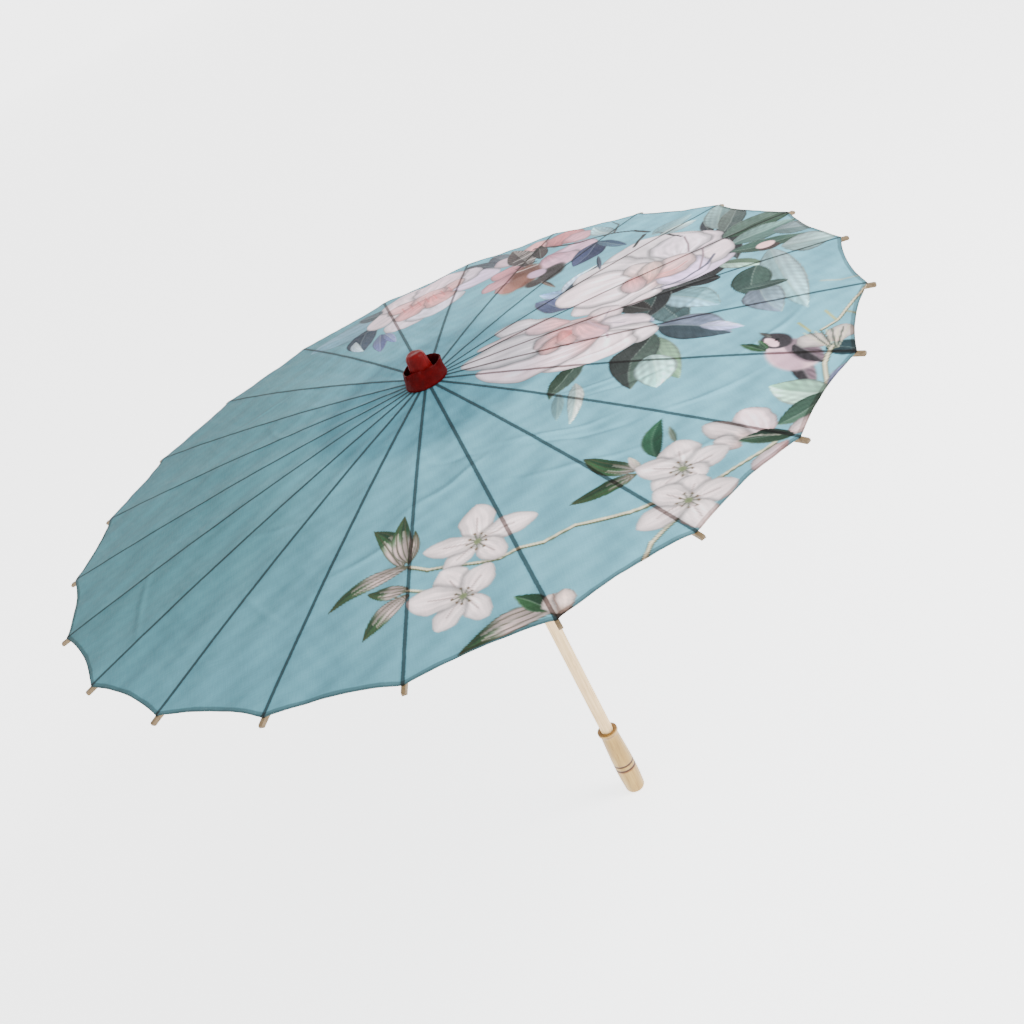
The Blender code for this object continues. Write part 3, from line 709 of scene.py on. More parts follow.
def turned_copy(shape, place, tilt, about):
    """A copy of a link's shape at its own bearing round the shaft."""
    copy = shape.copy()
    turn = Matrix.Translation(place) @ Matrix.Rotation(about, 4, "Z") @ Matrix.Rotation(tilt, 4, "Y")
    bmesh.ops.transform(copy, verts=copy.verts, matrix=turn)
    return copy


for number in range(RIB_COUNT):
    bearing = number * PITCH
    place = (PIVOT_RADIUS * cos(bearing), PIVOT_RADIUS * sin(bearing), PIVOT_HEIGHT)
    finished(
        f"bamboo_rib_{number:02d}", turned_copy(rib_shape, place, 0.0, bearing), bamboo,
        f"rib_{number:02d}", [f"rib_{number:02d}"],
    )
rib_shape.free()

# Stretchers: bamboo splints that prop the ribs from the runner, with a thin tongue and a pin in the rib's
# slot and a threaded tongue in the runner's.
STRETCHER_WIDTH = 0.0030
STRETCHER_DEPTH = 0.0045
joint_fall = -joint[1]
stretcher_length = (joint[0] ** 2 + joint_fall ** 2) ** 0.5
stretcher_tilt = atan2(joint_fall, joint[0])
splint_start, splint_end = 0.0140, stretcher_length - TONGUE_LENGTH
half = STRETCHER_DEPTH / 2
splint_line = [(splint_start + (splint_end - splint_start) * step / 20) for step in range(21)]
splint = plate(
    [(x, half - 0.00012 * sin(x * 160)) for x in splint_line] + [(x, -half) for x in reversed(splint_line)],
    STRETCHER_WIDTH, RIB_EDGE,
)
far_tongue = plate([(stretcher_length - x, z) for x, z in tongue(TONGUE_LENGTH + TONGUE_BITE)], 0.0020, 0.0)
splint = cut(
    splint, plate(tongue(splint_start + TONGUE_BITE), 0.0010, 0.0), far_tongue,
    cross_rod(0.0007, RIB_WIDTH - 0.0006, 0.0, 16), operation="UNION",
)
splint = cut(splint, side_hole(EYE_RADIUS, (stretcher_length, 0)))
for number in range(RIB_COUNT):
    bearing = number * PITCH
    place = (
        RIB_JOINT_RADIUS * cos(bearing), RIB_JOINT_RADIUS * sin(bearing), joint[1] + PIVOT_HEIGHT
    )
    finished(
        f"bamboo_stretcher_{number:02d}", turned_copy(splint, place, stretcher_tilt, bearing + pi),
        bamboo, f"stretcher_{number:02d}", [f"stretcher_{number:02d}"],
    )
splint.free()

# Canopy: one printed cloth glued along the 22 ribs, its edge turned under as a hem and drawn in a little
# between the ribs. Each piece is the cloth that one rib carries, from mid-gore to mid-gore, so that it
# swings with its rib.
CLOTH_ABOVE_RIB = 0.0009
CLOTH_INNER_RADIUS = 0.0190
CLOTH_OUTER_RADIUS = 0.4035
CLOTH_THICKNESS = 0.0005
GORE_SAG = 0.0016
# Folds in the cloth: bearing and half spread in degrees, distance out and slant in metres, and depth.
FOLDS = (
    (-62, 9, 0.205, 0.030, 0.9), (-60, 8, 0.230, 0.034, -0.8), (-66, 9, 0.262, 0.030, 0.8),
    (-88, 9, 0.192, -0.012, 0.8), (-86, 8, 0.160, 0.010, -0.7), (-92, 8, 0.300, 0.016, 0.7),
    (-57, 7, 0.330, 0.024, 0.8), (-42, 7, 0.196, 0.030, 0.7), (-40, 7, 0.226, 0.030, -0.7),
    (-44, 6, 0.300, 0.026, 0.7), (-106, 8, 0.250, -0.020, 0.6), (-124, 8, 0.300, 0.018, 0.7),
    (-140, 8, 0.210, -0.016, 0.6), (-156, 8, 0.330, 0.020, 0.7), (-172, 7, 0.250, -0.02, 0.7),
    (-10, 7, 0.250, 0.026, 0.6), (-24, 7, 0.180, 0.030, 0.7), (-26, 6, 0.330, 0.020, 0.6),
    (140, 8, 0.260, 0.024, 0.6), (160, 8, 0.180, -0.024, 0.6), (110, 8, 0.300, 0.02, 0.6),
)
HEM_DRAWN_IN = 0.0055
HEM_WIDTH = 0.0070
HEM_THICKNESS = 0.0009
RIDGE_HEIGHT = 0.00025
RIDGE_WIDTH = 0.004
GLUED_WIDTH = 0.006
CLOTH_HOLE_RADIUS = 0.0106


def smooth(value):
    """0 below 0, 1 above 1, and an easy curve between."""
    value = np.clip(value, 0.0, 1.0)
    return value * value * (3 - 2 * value)


# The print is laid out in centimetres on the flat cloth, x and y from the shaft. Colours are 0 to 255, as
# they look on the lit cloth, and the ink values turn them into what the cloth reflects.
EDGE_SOFTNESS = 0.09
INK_DEPTH = 0.083
INK_CONTRAST = 1.25
INK_STRENGTH = 1.28
WARM_STRENGTH = 0.92


def lay(paint, pick, colour, cover):
    """Covers the picked points with a colour, or with one colour for each."""
    paint[pick] += (np.asarray(colour, float) - paint[pick]) * cover[:, None]


def along_spine(x, y, base, tip, bend):
    """The points near a bent spine, their share of the way along it and their distance to its left."""
    base, tip = np.array(base, float), np.array(tip, float)
    reach = np.hypot(*(tip - base))
    way = (tip - base) / reach
    pick = np.flatnonzero(np.hypot(x - base[0], y - base[1]) < reach * 1.5)
    pick = pick[np.hypot(x[pick] - tip[0], y[pick] - tip[1]) < reach * 1.5]
    u = ((x[pick] - base[0]) * way[0] + (y[pick] - base[1]) * way[1]) / reach
    v = (y[pick] - base[1]) * way[0] - (x[pick] - base[0]) * way[1]
    inside = np.clip(u, 0, 1)
    return pick, u, v - bend * 4 * inside * (1 - inside), reach


def leaf(base, tip, half_width, left, right, bend=0.0, veins=0.08, rib=(186, 194, 188), show=1.0):
    """A pointed leaf: a tone on each side of its midrib, veins, and a fine darker edge."""
    pick, u, v, reach = along_spine(X, Y, base, tip, bend)
    inside = np.clip(u, 0, 1)
    edge = half_width * np.sin(pi * inside ** 0.85) ** 0.85 + 1e-6
    cover = smooth((edge - abs(v)) / EDGE_SOFTNESS + 0.3) * ((u > 0) & (u < 1)) * show
    side = smooth(v / 0.12 + 0.5)[:, None]
    tone = np.array(right, float) * (1 - side) + np.array(left, float) * side
    across = abs(v) / edge
    veining = np.sin(2 * pi * (inside * reach * 1.1 - across * 1.6))
    tone = tone * (1 + 0.8 * veins * veining * across)[:, None]
    tone = tone * (1 + 0.03 * np.sin(v / half_width * 17 + 2.5 * inside + base[0]))[:, None]
    tone = tone * (0.88 + 0.20 * inside)[:, None]
    tone = tone * (1 - 0.30 * smooth((across - 0.80) / 0.20))[:, None]
    light = 0.45 * smooth(1 - abs(edge - v - 0.05) / 0.12) * smooth(inside * 4)
    tone = tone + (np.array((206, 214, 208), float) - tone) * light[:, None]
    middle = smooth(1 - abs(v) / 0.10) * smooth((1 - inside) * 4) * 0.45
    tone = tone + (np.array(rib, float) - tone) * middle[:, None]
    lay(PAINT, pick, tone, cover)


def petal(base, tip, half_width, pale=(213, 208, 209), blush=(212, 180, 180), depth=0.35, bend=0.0,
          ruffle=0.05, seed=0.0, full=0.55, rim=0.22, show=1.0):
    """A blunt petal: blush at its base, pale outwards, fine streaks along it, and a shaded rim."""
    pick, u, v, reach = along_spine(X, Y, base, tip, bend)
    inside = np.clip(u, 0, 1)
    waves = 1 + ruffle * np.sin(11 * inside + seed) + 0.6 * ruffle * np.sin(23 * inside + 2 * seed)
    edge = half_width * waves * np.sin(pi * inside ** 1.25) ** full + 1e-6
    within = (u > 0) & (u < 1)
    under = smooth((PAINT[pick].min(axis=1) - 160) / 30) * smooth((edge + 0.4 - abs(v)) / 0.4)
    lay(PAINT, pick, PAINT[pick] * 0.86, under * within * show)
    cover = smooth((edge - abs(v)) / EDGE_SOFTNESS + 0.3) * within * show
    flush = (smooth(1 - inside / max(depth, 0.01)) * 0.8)[:, None]
    tone = np.array(pale, float) * (1 - flush) + np.array(blush, float) * flush
    streaks = np.sin(v / edge * 14 + 3 * np.sin(4 * inside + seed)) * 0.025
    streaks += np.sin(v / edge * 31 + 2 * np.sin(6 * inside + 2 * seed)) * 0.015
    tone = tone * (1 + streaks * smooth(1.15 - inside))[:, None]
    tone = tone * (1 - rim * smooth(1 - (edge - abs(v)) / 0.20) * smooth(inside * 3))[:, None]
    tone = tone * (1 - 0.5 * rim * smooth(1 - (edge - abs(v)) / 0.9))[:, None]
    lay(PAINT, pick, tone, cover)


def stroke(points, width, colour, show=1.0, taper=0.0):
    """A brush line through points, thinning towards its end by taper."""
    points = np.array(points, float)
    for number, (a, b) in enumerate(zip(points[:-1], points[1:])):
        way = b - a
        pick = np.flatnonzero(
            (abs(X - (a[0] + b[0]) / 2) < abs(way[0]) / 2 + 2 * width + 0.2)
            & (abs(Y - (a[1] + b[1]) / 2) < abs(way[1]) / 2 + 2 * width + 0.2)
        )
        if not len(pick):
            continue
        share = ((X[pick] - a[0]) * way[0] + (Y[pick] - a[1]) * way[1]) / max(way @ way, 1e-9)
        share = np.clip(share, 0, 1)
        away = np.hypot(X[pick] - a[0] - share * way[0], Y[pick] - a[1] - share * way[1])
        wide = width * (1 - taper * (number + share) / (len(points) - 1))
        lay(PAINT, pick, colour, smooth((wide / 2 - away) / EDGE_SOFTNESS + 0.5) * show)


def patch(centre, radii, turn, colour, show=1.0, soft=0.25):
    """A soft oval of one tone."""
    pick = np.flatnonzero(np.hypot(X - centre[0], Y - centre[1]) < max(radii) * 1.6)
    c, s = cos(radians(turn)), sin(radians(turn))
    dx, dy = X[pick] - centre[0], Y[pick] - centre[1]
    away = np.hypot((dx * c + dy * s) / radii[0], (dy * c - dx * s) / radii[1])
    lay(PAINT, pick, colour, smooth((1 - away) / soft + 0.5) * show)


def branch(points, width=0.42):
    """A bare twig: brown bark lines with a cream light along it."""
    stroke(points, width, (98, 104, 78), 0.9)
    shifted = [(px + 0.03, py + 0.09) for px, py in points]
    stroke(shifted, width * 0.62, (212, 208, 194), 0.95)


def stamens(centre, reach, count, start, colour=(72, 84, 66)):
    """Fine lines and dots out of a blossom's throat."""
    for number in range(count):
        angle = radians(start + number * 360 / count)
        length = reach * (0.75 + 0.25 * ((number * 7) % 5) / 4)
        end = (centre[0] + length * cos(angle), centre[1] + length * sin(angle))
        stroke([centre, end], 0.13, colour, 0.55)
        patch(end, (0.13, 0.13), 0, (120, 96, 70), 0.7)


GREEN = (66, 104, 72)
DEEP_GREEN = (40, 72, 52)
CHARCOAL = (52, 54, 56)
STRIPE = (196, 186, 182)
# The cloth's ground teal: painted shade on the left, painted light on the right.
TEAL_SHADED_LEFT = (122, 163, 170)
TEAL_LIT_RIGHT = (157, 191, 197)


def peony_leaves():
    """The dark and the pale leaves round the two great peonies."""
    leaf((22.4, 0.5), (23.6, -8.4), 1.9, (74, 94, 96), (96, 118, 120))
    leaf((23.2, -0.4), (27.2, -6.2), 2.0, (150, 178, 182), (176, 198, 204), bend=0.5)
    leaf((21.4, -6.6), (26.6, -12.2), 2.2, (150, 158, 172), (78, 92, 100), bend=0.5)
    leaf((24.6, -9.2), (27.8, -11.8), 0.8, (206, 206, 218), (196, 198, 212))
    leaf((20.6, -8.0), (20.8, -16.8), 1.5, (160, 180, 164), (132, 156, 140), bend=-0.2)
    leaf((20.8, -7.6), (16.8, -15.8), 2.1, (96, 112, 104), (58, 64, 62), bend=-0.9)
    leaf((19.6, -11.6), (18.8, -17.0), 1.9, (204, 218, 216), (186, 204, 202), bend=0.2)
    leaf((14.3, -8.4), (10.2, -12.8), 1.15, (84, 102, 92), (58, 78, 64), bend=-0.5)
    leaf((12.8, -11.4), (11.1, -17.6), 0.75, (206, 208, 206), (176, 188, 188), bend=0.35)
    leaf((11.2, -12.4), (10.2, -16.4), 0.6, (146, 164, 164), (128, 150, 152), show=0.7)
    leaf((15.2, 4.4), (12.0, 10.6), 1.45, (110, 116, 140), (126, 132, 158), bend=0.2)
    leaf((14.8, 8.2), (12.6, 12.2), 1.0, (188, 200, 214), (166, 184, 200), bend=-0.4)
    leaf((15.0, 9.6), (19.6, 15.4), 1.15, (206, 214, 222), (70, 84, 98), bend=0.5)
    leaf((31.9, 13.6), (31.2, 2.6), 1.1, CHARCOAL, (72, 76, 78), bend=0.4, veins=0.05)
    leaf((31.0, 12.8), (31.3, 17.8), 0.75, (64, 68, 74), CHARCOAL)
    leaf((30.4, 3.2), (23.6, -0.6), 2.1, (42, 42, 44), (58, 72, 62), bend=-0.4, veins=0.05)
    leaf((28.8, -0.6), (24.4, 1.4), 1.2, CHARCOAL, CHARCOAL, veins=0.04)
    leaf((23.8, 2.8), (20.2, -4.6), 1.5, (50, 52, 54), (66, 82, 80), bend=0.3)
    leaf((19.0, 1.2), (21.8, -2.6), 1.2, (54, 50, 50), (70, 70, 68))
    leaf((18.4, -1.6), (21.4, -5.4), 1.3, (168, 170, 184), (120, 124, 136))
    leaf((32.0, 13.2), (35.2, 23.0), 1.75, (166, 182, 182), (140, 160, 160), bend=0.3)
    leaf((32.2, 11.8), (35.6, 19.6), 1.45, (118, 128, 124), (96, 108, 106), bend=-0.2)
    leaf((31.6, 9.6), (40.2, 12.6), 2.4, (112, 134, 124), (78, 104, 88), bend=0.3)
    leaf((31.8, 7.0), (38.8, 8.6), 1.8, (150, 172, 168), (116, 142, 136), bend=0.2)
    leaf((36.0, 7.4), (40.4, 5.2), 1.6, (160, 172, 174), (132, 150, 150))
    leaf((31.2, 5.2), (38.2, 4.0), 1.6, (92, 118, 108), (74, 96, 84), bend=-0.2)
    leaf((29.4, 3.2), (33.0, -0.8), 1.25, (112, 134, 116), (190, 204, 198))
    leaf((35.4, 2.4), (40.2, 0.8), 2.4, (184, 196, 196), (166, 182, 182), veins=0.04)
    leaf((34.4, 2.6), (33.2, -12.4), 1.9, (188, 202, 204), (170, 190, 192), bend=-0.3, veins=0.05)
    leaf((32.2, -0.6), (30.0, -6.6), 1.9, (92, 114, 106), (72, 94, 88), bend=-0.3)
    leaf((31.4, -4.6), (31.2, -11.4), 1.9, (164, 178, 184), (150, 160, 170), bend=-0.6)
    leaf((33.6, -5.8), (29.2, -4.6), 0.9, (60, 82, 76), (88, 108, 102))
    stroke([(35.8, -8.2), (37.2, -9.0), (38.8, -9.4)], 0.35, (186, 192, 188), 0.8)
    patch((34.5, 3.4), (1.05, 0.85), 20, (82, 66, 64))
    patch((34.4, 4.4), (0.95, 0.85), 10, (222, 204, 204))


def peony_near():
    """The peony that opens out from the middle of the cloth."""
    pale, deep = (214, 208, 210), (212, 178, 180)
    petal((13.4, 2.6), (7.3, 5.2), 1.95, pale, depth=0.2, seed=1)
    petal((15.6, -0.6), (19.4, 0.6), 2.0, (214, 204, 206), depth=0.5, seed=2)
    petal((14.6, -2.4), (21.2, -4.6), 2.5, (216, 208, 212), depth=0.5, seed=3)
    petal((15.0, -4.0), (21.3, -7.2), 2.0, pale, depth=0.4, seed=4)
    petal((14.6, -3.0), (14.6, -9.2), 4.6, (220, 212, 214), depth=0.3, seed=5, bend=0.3)
    petal((16.4, -4.6), (4.6, -3.2), 3.0, (220, 210, 213), depth=0.3, seed=6, bend=0.9)
    petal((16.6, 0.2), (5.2, 2.4), 1.8, (216, 204, 206), depth=0.4, seed=7)
    petal((16.8, -1.0), (3.4, -0.4), 2.9, pale, deep, depth=0.42, seed=8)
    petal((14.6, 1.4), (10.2, 2.8), 1.7, (214, 196, 199), deep, depth=0.8, seed=9)
    petal((15.6, -0.8), (10.4, -2.4), 1.9, (214, 196, 198), (210, 168, 170), depth=0.8, seed=10)
    petal((13.6, -1.0), (11.0, -4.2), 1.2, (213, 186, 186), (207, 164, 162), depth=0.8, seed=11)
    petal((14.8, -0.2), (16.6, -4.6), 1.7, (215, 190, 195), deep, depth=0.9, seed=12)
    petal((13.4, -0.4), (13.6, -4.2), 1.0, (212, 178, 178), (205, 158, 156), depth=0.8, seed=13)
    stroke([(16.0, -0.4), (17.2, -3.2), (17.0, -5.4)], 0.22, (198, 178, 188), 0.7)
    stroke([(18.4, 0.8), (17.2, -1.6), (19.0, -3.0)], 0.18, (182, 170, 180), 0.6)
    for number in range(9):
        lean = -1.6 + 0.4 * number
        ends = [(14.2, -1.2 + 0.2 * lean), (11.4 + 0.1 * number, -1.4 + 1.3 * lean)]
        stroke(ends, 0.16, (200, 120, 120), 0.4, 0.6)


def peony_far():
    """The larger peony beyond it, whose petals run out towards the edge."""
    pale, deep = (212, 207, 209), (212, 170, 168)
    petal((26.0, 5.6), (27.2, 1.4), 4.4, (214, 208, 216), depth=0.2, seed=1, bend=0.4)
    petal((23.6, 4.6), (19.4, 0.2), 2.4, (218, 210, 212), depth=0.3, seed=2)
    petal((25.2, 6.4), (31.9, 8.6), 3.6, (216, 208, 211), depth=0.2, seed=3)
    petal((26.4, 8.0), (30.6, 14.4), 3.3, (214, 206, 210), depth=0.2, seed=4)
    petal((24.8, 6.4), (24.8, 18.0), 5.4, pale, depth=0.2, seed=5, bend=-0.4)
    petal((24.6, 6.4), (17.0, 13.4), 4.0, pale, depth=0.2, seed=6)
    petal((24.4, 4.8), (14.8, 2.8), 3.0, (219, 212, 214), depth=0.3, seed=7, bend=0.3)
    petal((25.4, 6.4), (13.8, 7.4), 4.3, (220, 213, 215), depth=0.28, seed=8)
    petal((26.6, 8.0), (28.6, 15.6), 3.2, (216, 210, 214), depth=0.1, seed=9)
    petal((23.8, 6.4), (28.0, 2.4), 3.1, (215, 208, 218), depth=0.3, seed=10, bend=0.4)
    petal((22.6, 5.0), (27.8, 8.6), 2.3, (213, 197, 198), deep, depth=0.7, seed=11, bend=-0.4)
    petal((23.2, 6.0), (22.4, 11.0), 1.6, (214, 204, 204), (213, 186, 182), depth=0.8, seed=12)
    petal((22.6, 4.0), (24.4, 10.0), 1.3, (214, 198, 195), (214, 180, 174), depth=0.6, seed=13)
    petal((22.0, 7.2), (21.0, 3.0), 1.3, (212, 192, 195), deep, depth=0.9, seed=14)
    stroke([(28.6, 14.4), (28.4, 11.6), (27.9, 9.0)], 0.2, (150, 128, 136), 0.75)
    stroke([(29.2, 8.4), (28.8, 6.4), (27.6, 3.4)], 0.2, (160, 138, 148), 0.75)
    stroke([(29.8, 6.0), (28.6, 4.2), (25.8, 2.2), (22.8, 2.2)], 0.3, (104, 104, 118), 0.7)
    stroke([(24.0, 5.6), (25.6, 5.4), (27.2, 6.4)], 0.16, (208, 150, 150), 0.5)


def peony_back():
    """The peony on the far side, with its slate leaves."""
    leaf((-3.6, 31.6), (-15.2, 31.4), 4.2, (150, 172, 182), (164, 178, 188), veins=0.03, show=0.65)
    leaf((-5.0, 32.6), (-9.0, 36.6), 1.6, (92, 102, 108), (110, 118, 124))
    leaf((-6.8, 30.2), (-7.4, 20.0), 1.9, (72, 84, 100), (54, 66, 82), bend=-0.9, veins=0.05)
    leaf((-8.8, 26.0), (-7.4, 20.0), 0.6, (196, 202, 206), (186, 194, 200), bend=-0.5)
    leaf((-5.6, 24.2), (-5.3, 16.6), 0.95, (112, 118, 148), (132, 138, 166))
    leaf((-5.0, 23.4), (-3.4, 17.4), 0.6, (160, 166, 188), (142, 148, 176))
    leaf((5.6, 37.6), (9.4, 29.4), 1.5, (104, 110, 118), (84, 88, 98), bend=0.4)
    leaf((9.0, 38.0), (10.6, 31.8), 1.3, (130, 138, 146), (104, 110, 120))
    pale, deep = (210, 201, 204), (208, 158, 158)
    petal((-1.0, 30.0), (-7.6, 30.8), 4.0, pale, depth=0.3, seed=1)
    petal((1.0, 31.6), (9.4, 28.6), 3.4, (210, 204, 212), depth=0.3, seed=2)
    petal((0.6, 30.6), (6.8, 35.6), 3.4, (208, 200, 206), depth=0.2, seed=3)
    petal((-0.6, 30.6), (-3.4, 38.4), 3.8, (212, 203, 206), depth=0.2, seed=4)
    petal((0.8, 30.4), (2.8, 38.8), 3.6, (214, 204, 208), depth=0.2, seed=5)
    petal((0.2, 29.8), (-3.2, 21.4), 3.3, (212, 206, 210), depth=0.4, seed=6)
    petal((0.4, 30.0), (2.0, 21.6), 3.6, (210, 208, 212), depth=0.5, seed=7)
    petal((0.0, 28.6), (-4.4, 33.2), 2.2, (212, 190, 191), deep, depth=0.8, seed=8)
    petal((0.4, 28.4), (4.6, 33.0), 2.2, (212, 190, 190), deep, depth=0.8, seed=9)
    petal((0.4, 28.0), (0.6, 34.0), 2.4, (212, 188, 188), (208, 160, 160), depth=0.8, seed=10)
    petal((0.0, 31.0), (-3.0, 25.2), 1.9, (210, 180, 181), deep, depth=0.9, seed=11)
    petal((0.8, 31.0), (2.6, 25.0), 2.0, (211, 182, 182), deep, depth=0.9, seed=12)
    for number in range(7):
        start = -3.0 + number
        stroke([(start, 31.6), (start + 0.5, 28.6)], 0.18, (200, 124, 120), 0.45)


def bird(head, breast, tail, size, back, belly, stripe):
    """A small perching bird of no particular kind, drawn from head to tail."""
    head, breast, tail = (np.array(point, float) for point in (head, breast, tail))
    way = (breast - head) / np.hypot(*(breast - head))
    side = np.array((-way[1], way[0]))
    leaf(breast, tail, 0.55 * size, back, stripe, veins=0.3)
    turn = np.degrees(np.arctan2(way[1], way[0]))
    patch(breast, (1.75 * size, 1.25 * size), turn, belly)
    patch(breast + 0.5 * size * side, (1.5 * size, 0.65 * size), turn, back, 0.8)
    leaf(breast - 0.9 * size * way + 0.5 * size * side, breast + 1.9 * size * way + 0.7 * size * side,
         0.6 * size, back, stripe, veins=0.35)
    patch(head, (0.85 * size, 0.75 * size), turn, stripe)
    patch(head - 0.25 * size * side, (0.6 * size, 0.28 * size), turn, belly)
    patch(head - 0.1 * size * way + 0.1 * size * side, (0.13 * size, 0.13 * size), 0, (20, 20, 22))
    beak = head - 1.5 * size * way - 0.2 * size * side
    leaf(head - 0.5 * size * way, beak, 0.16 * size, (60, 56, 56), (84, 78, 74))


def birds():
    """One bird among pink petals at the far side, one on the blossom twig at the edge."""
    petal((11.2, 24.0), (7.0, 21.4), 2.3, (204, 170, 178), (170, 120, 128), depth=0.6, seed=1)
    petal((12.0, 24.6), (8.4, 27.4), 2.0, (202, 160, 168), (170, 120, 128), depth=0.6, seed=2)
    petal((11.4, 21.0), (8.8, 18.0), 1.9, (196, 158, 160), (150, 104, 98), depth=0.7, seed=3)
    petal((13.6, 28.0), (9.6, 33.6), 2.3, (200, 186, 192), (168, 132, 140), depth=0.5, seed=4)
    petal((14.2, 29.6), (14.6, 35.4), 2.0, (214, 184, 184), (170, 126, 128), depth=0.5, seed=5)
    petal((16.2, 29.0), (18.8, 35.0), 2.4, (204, 156, 160), (176, 120, 126), depth=0.5, seed=6)
    petal((17.0, 29.6), (20.8, 30.6), 2.2, (206, 176, 184), (176, 120, 126), depth=0.4, seed=7)
    petal((14.2, 25.8), (20.6, 23.6), 3.5, (208, 188, 200), (184, 140, 154), depth=0.4, seed=8)
    petal((15.2, 27.0), (16.4, 19.8), 2.5, (206, 182, 194), (186, 144, 158), depth=0.5, seed=9)
    leaf((12.8, 25.0), (11.4, 36.6), 1.7, (92, 78, 76), (150, 140, 136), veins=0.4)
    leaf((14.2, 26.4), (14.6, 33.2), 1.0, (64, 54, 54), (96, 82, 80), veins=0.3)
    patch((12.0, 21.6), (3.9, 1.7), 78, (128, 82, 68), soft=0.4)
    patch((10.6, 19.6), (2.6, 1.2), 60, (172, 126, 110), 0.7, soft=0.5)
    patch((14.6, 18.6), (2.9, 1.5), 70, (62, 52, 52), soft=0.4)
    patch((13.2, 20.6), (1.1, 1.35), 10, (196, 176, 192), soft=0.35)
    patch((12.8, 17.2), (1.2, 1.4), 20, (74, 62, 60), soft=0.4)
    leaf((13.3, 16.4), (14.5, 12.8), 0.32, (70, 56, 52), (150, 128, 116))
    for number in range(6):
        along = 24.0 + 1.5 * number
        bar = (52, 44, 46) if number % 2 else (208, 202, 200)
        stroke([(11.2, along), (13.6, along + 0.5)], 0.34, bar, 0.8)
    leaf((20.6, 24.0), (17.0, 17.6), 1.8, (74, 80, 108), (96, 102, 130), bend=0.4)
    leaf((20.6, 24.0), (23.2, 18.6), 0.85, (88, 108, 128), (110, 132, 148))
    leaf((19.9, 18.6), (19.3, 12.6), 0.28, (70, 76, 98), (56, 60, 78))
    stroke([(14.0, 32.6), (16.6, 29.0), (19.2, 27.0), (22.2, 25.2), (24.8, 23.4), (26.0, 20.6)],
           0.55, (70, 62, 60), 0.95, 0.3)
    stroke([(22.8, 25.2), (23.8, 28.6), (23.4, 31.0)], 0.3, (88, 86, 86), 0.8, 0.5)
    stroke([(25.4, 20.2), (23.6, 16.6)], 0.5, (66, 62, 62), 0.9, 0.3)
    stroke([(26.6, 19.6), (27.6, 16.4), (28.4, 14.8)], 0.4, (64, 60, 62), 0.9, 0.3)
    leaf((22.6, 25.4), (21.2, 31.6), 1.2, (190, 202, 204), (166, 184, 188), bend=0.3)
    leaf((26.0, 18.8), (31.0, 21.8), 1.5, (158, 180, 184), (172, 190, 192), veins=0.05, show=0.8)
    leaf((26.4, 17.4), (31.0, 19.0), 0.9, (196, 204, 204), (180, 192, 194), veins=0.05)
    bird((29.2, -16.3), (29.7, -19.2), (29.4, -25.2), 1.65, (142, 120, 132), (216, 200, 204), (62, 56, 62))
    patch((28.9, -19.9), (2.0, 0.9), -75, (196, 172, 184), 0.6, soft=0.6)
    leaf((28.0, -17.6), (26.5, -14.9), 0.5, GREEN, DEEP_GREEN)
    leaf((28.2, -17.4), (28.0, -15.4), 0.35, DEEP_GREEN, GREEN)


def edge_flowers():
    """Blossom, twigs and leaves that fill the cloth's edge below the bird."""
    leaf((32.2, -19.6), (34.6, -22.2), 1.25, (52, 80, 86), (38, 62, 68), bend=0.2)
    petal((32.6, -19.6), (30.9, -16.8), 1.2, (206, 200, 198), depth=0.3, seed=1)
    petal((33.0, -19.4), (34.8, -17.0), 1.2, (208, 202, 198), depth=0.3, seed=2)
    for number in range(9):
        lean = -1.3 + number * 0.42
        bar = (84, 96, 84) if number % 2 else (206, 204, 190)
        stroke([(32.6 + 0.15 * lean, -20.4), (32.8 + lean, -16.4 - 0.14 * number)], 0.15, bar, 0.8)
    branch([(32.8, -16.8), (34.4, -16.0), (36.2, -14.2), (38.9, -11.4)], 0.34)
    stroke([(34.4, -15.8), (34.2, -13.8)], 0.22, (196, 186, 132), 0.8)
    stroke([(32.0, -16.4), (31.7, -14.4)], 0.22, (190, 182, 132), 0.8)
    stroke([(35.6, -15.0), (36.6, -16.8), (36.0, -18.4)], 0.22, (176, 170, 140), 0.8)
    branch([(32.6, -20.0), (31.2, -22.2), (30.4, -25.0)], 0.45)
    leaf((30.4, -25.2), (34.0, -22.6), 0.8, (176, 184, 202), (150, 164, 184))
    leaf((32.2, -24.4), (26.8, -28.6), 0.6, (40, 40, 42), (58, 60, 58), veins=0.04)
    leaf((30.4, -26.2), (26.6, -22.6), 1.7, (200, 212, 206), (174, 194, 184), bend=0.4)
    leaf((30.2, -26.0), (25.4, -28.0), 1.4, (104, 132, 116), (76, 104, 90), bend=0.4)
    petal((25.4, -30.0), (28.8, -28.2), 0.8, (214, 204, 204), depth=0.4, seed=3)
    petal((25.6, -30.4), (22.2, -32.4), 0.9, (212, 202, 204), depth=0.4, seed=4)
    petal((24.6, -29.0), (23.9, -24.6), 1.65, (220, 210, 212), depth=0.3, seed=5)
    petal((23.4, -28.8), (20.6, -25.0), 1.15, (213, 206, 206), (200, 180, 176), depth=0.5, seed=6)
    petal((22.4, -29.2), (20.8, -27.4), 0.9, (212, 204, 204), (200, 180, 176), depth=0.5, seed=7)
    leaf((26.2, -30.0), (22.3, -28.4), 0.9, (62, 88, 70), (44, 62, 52), bend=-0.2)
    stroke([(22.6, -28.2), (24.0, -28.6), (25.2, -29.4)], 0.2, (196, 190, 182), 0.7)
    branch([(15.0, -32.1), (17.8, -32.2), (20.4, -31.7), (24.6, -30.2)], 0.34)


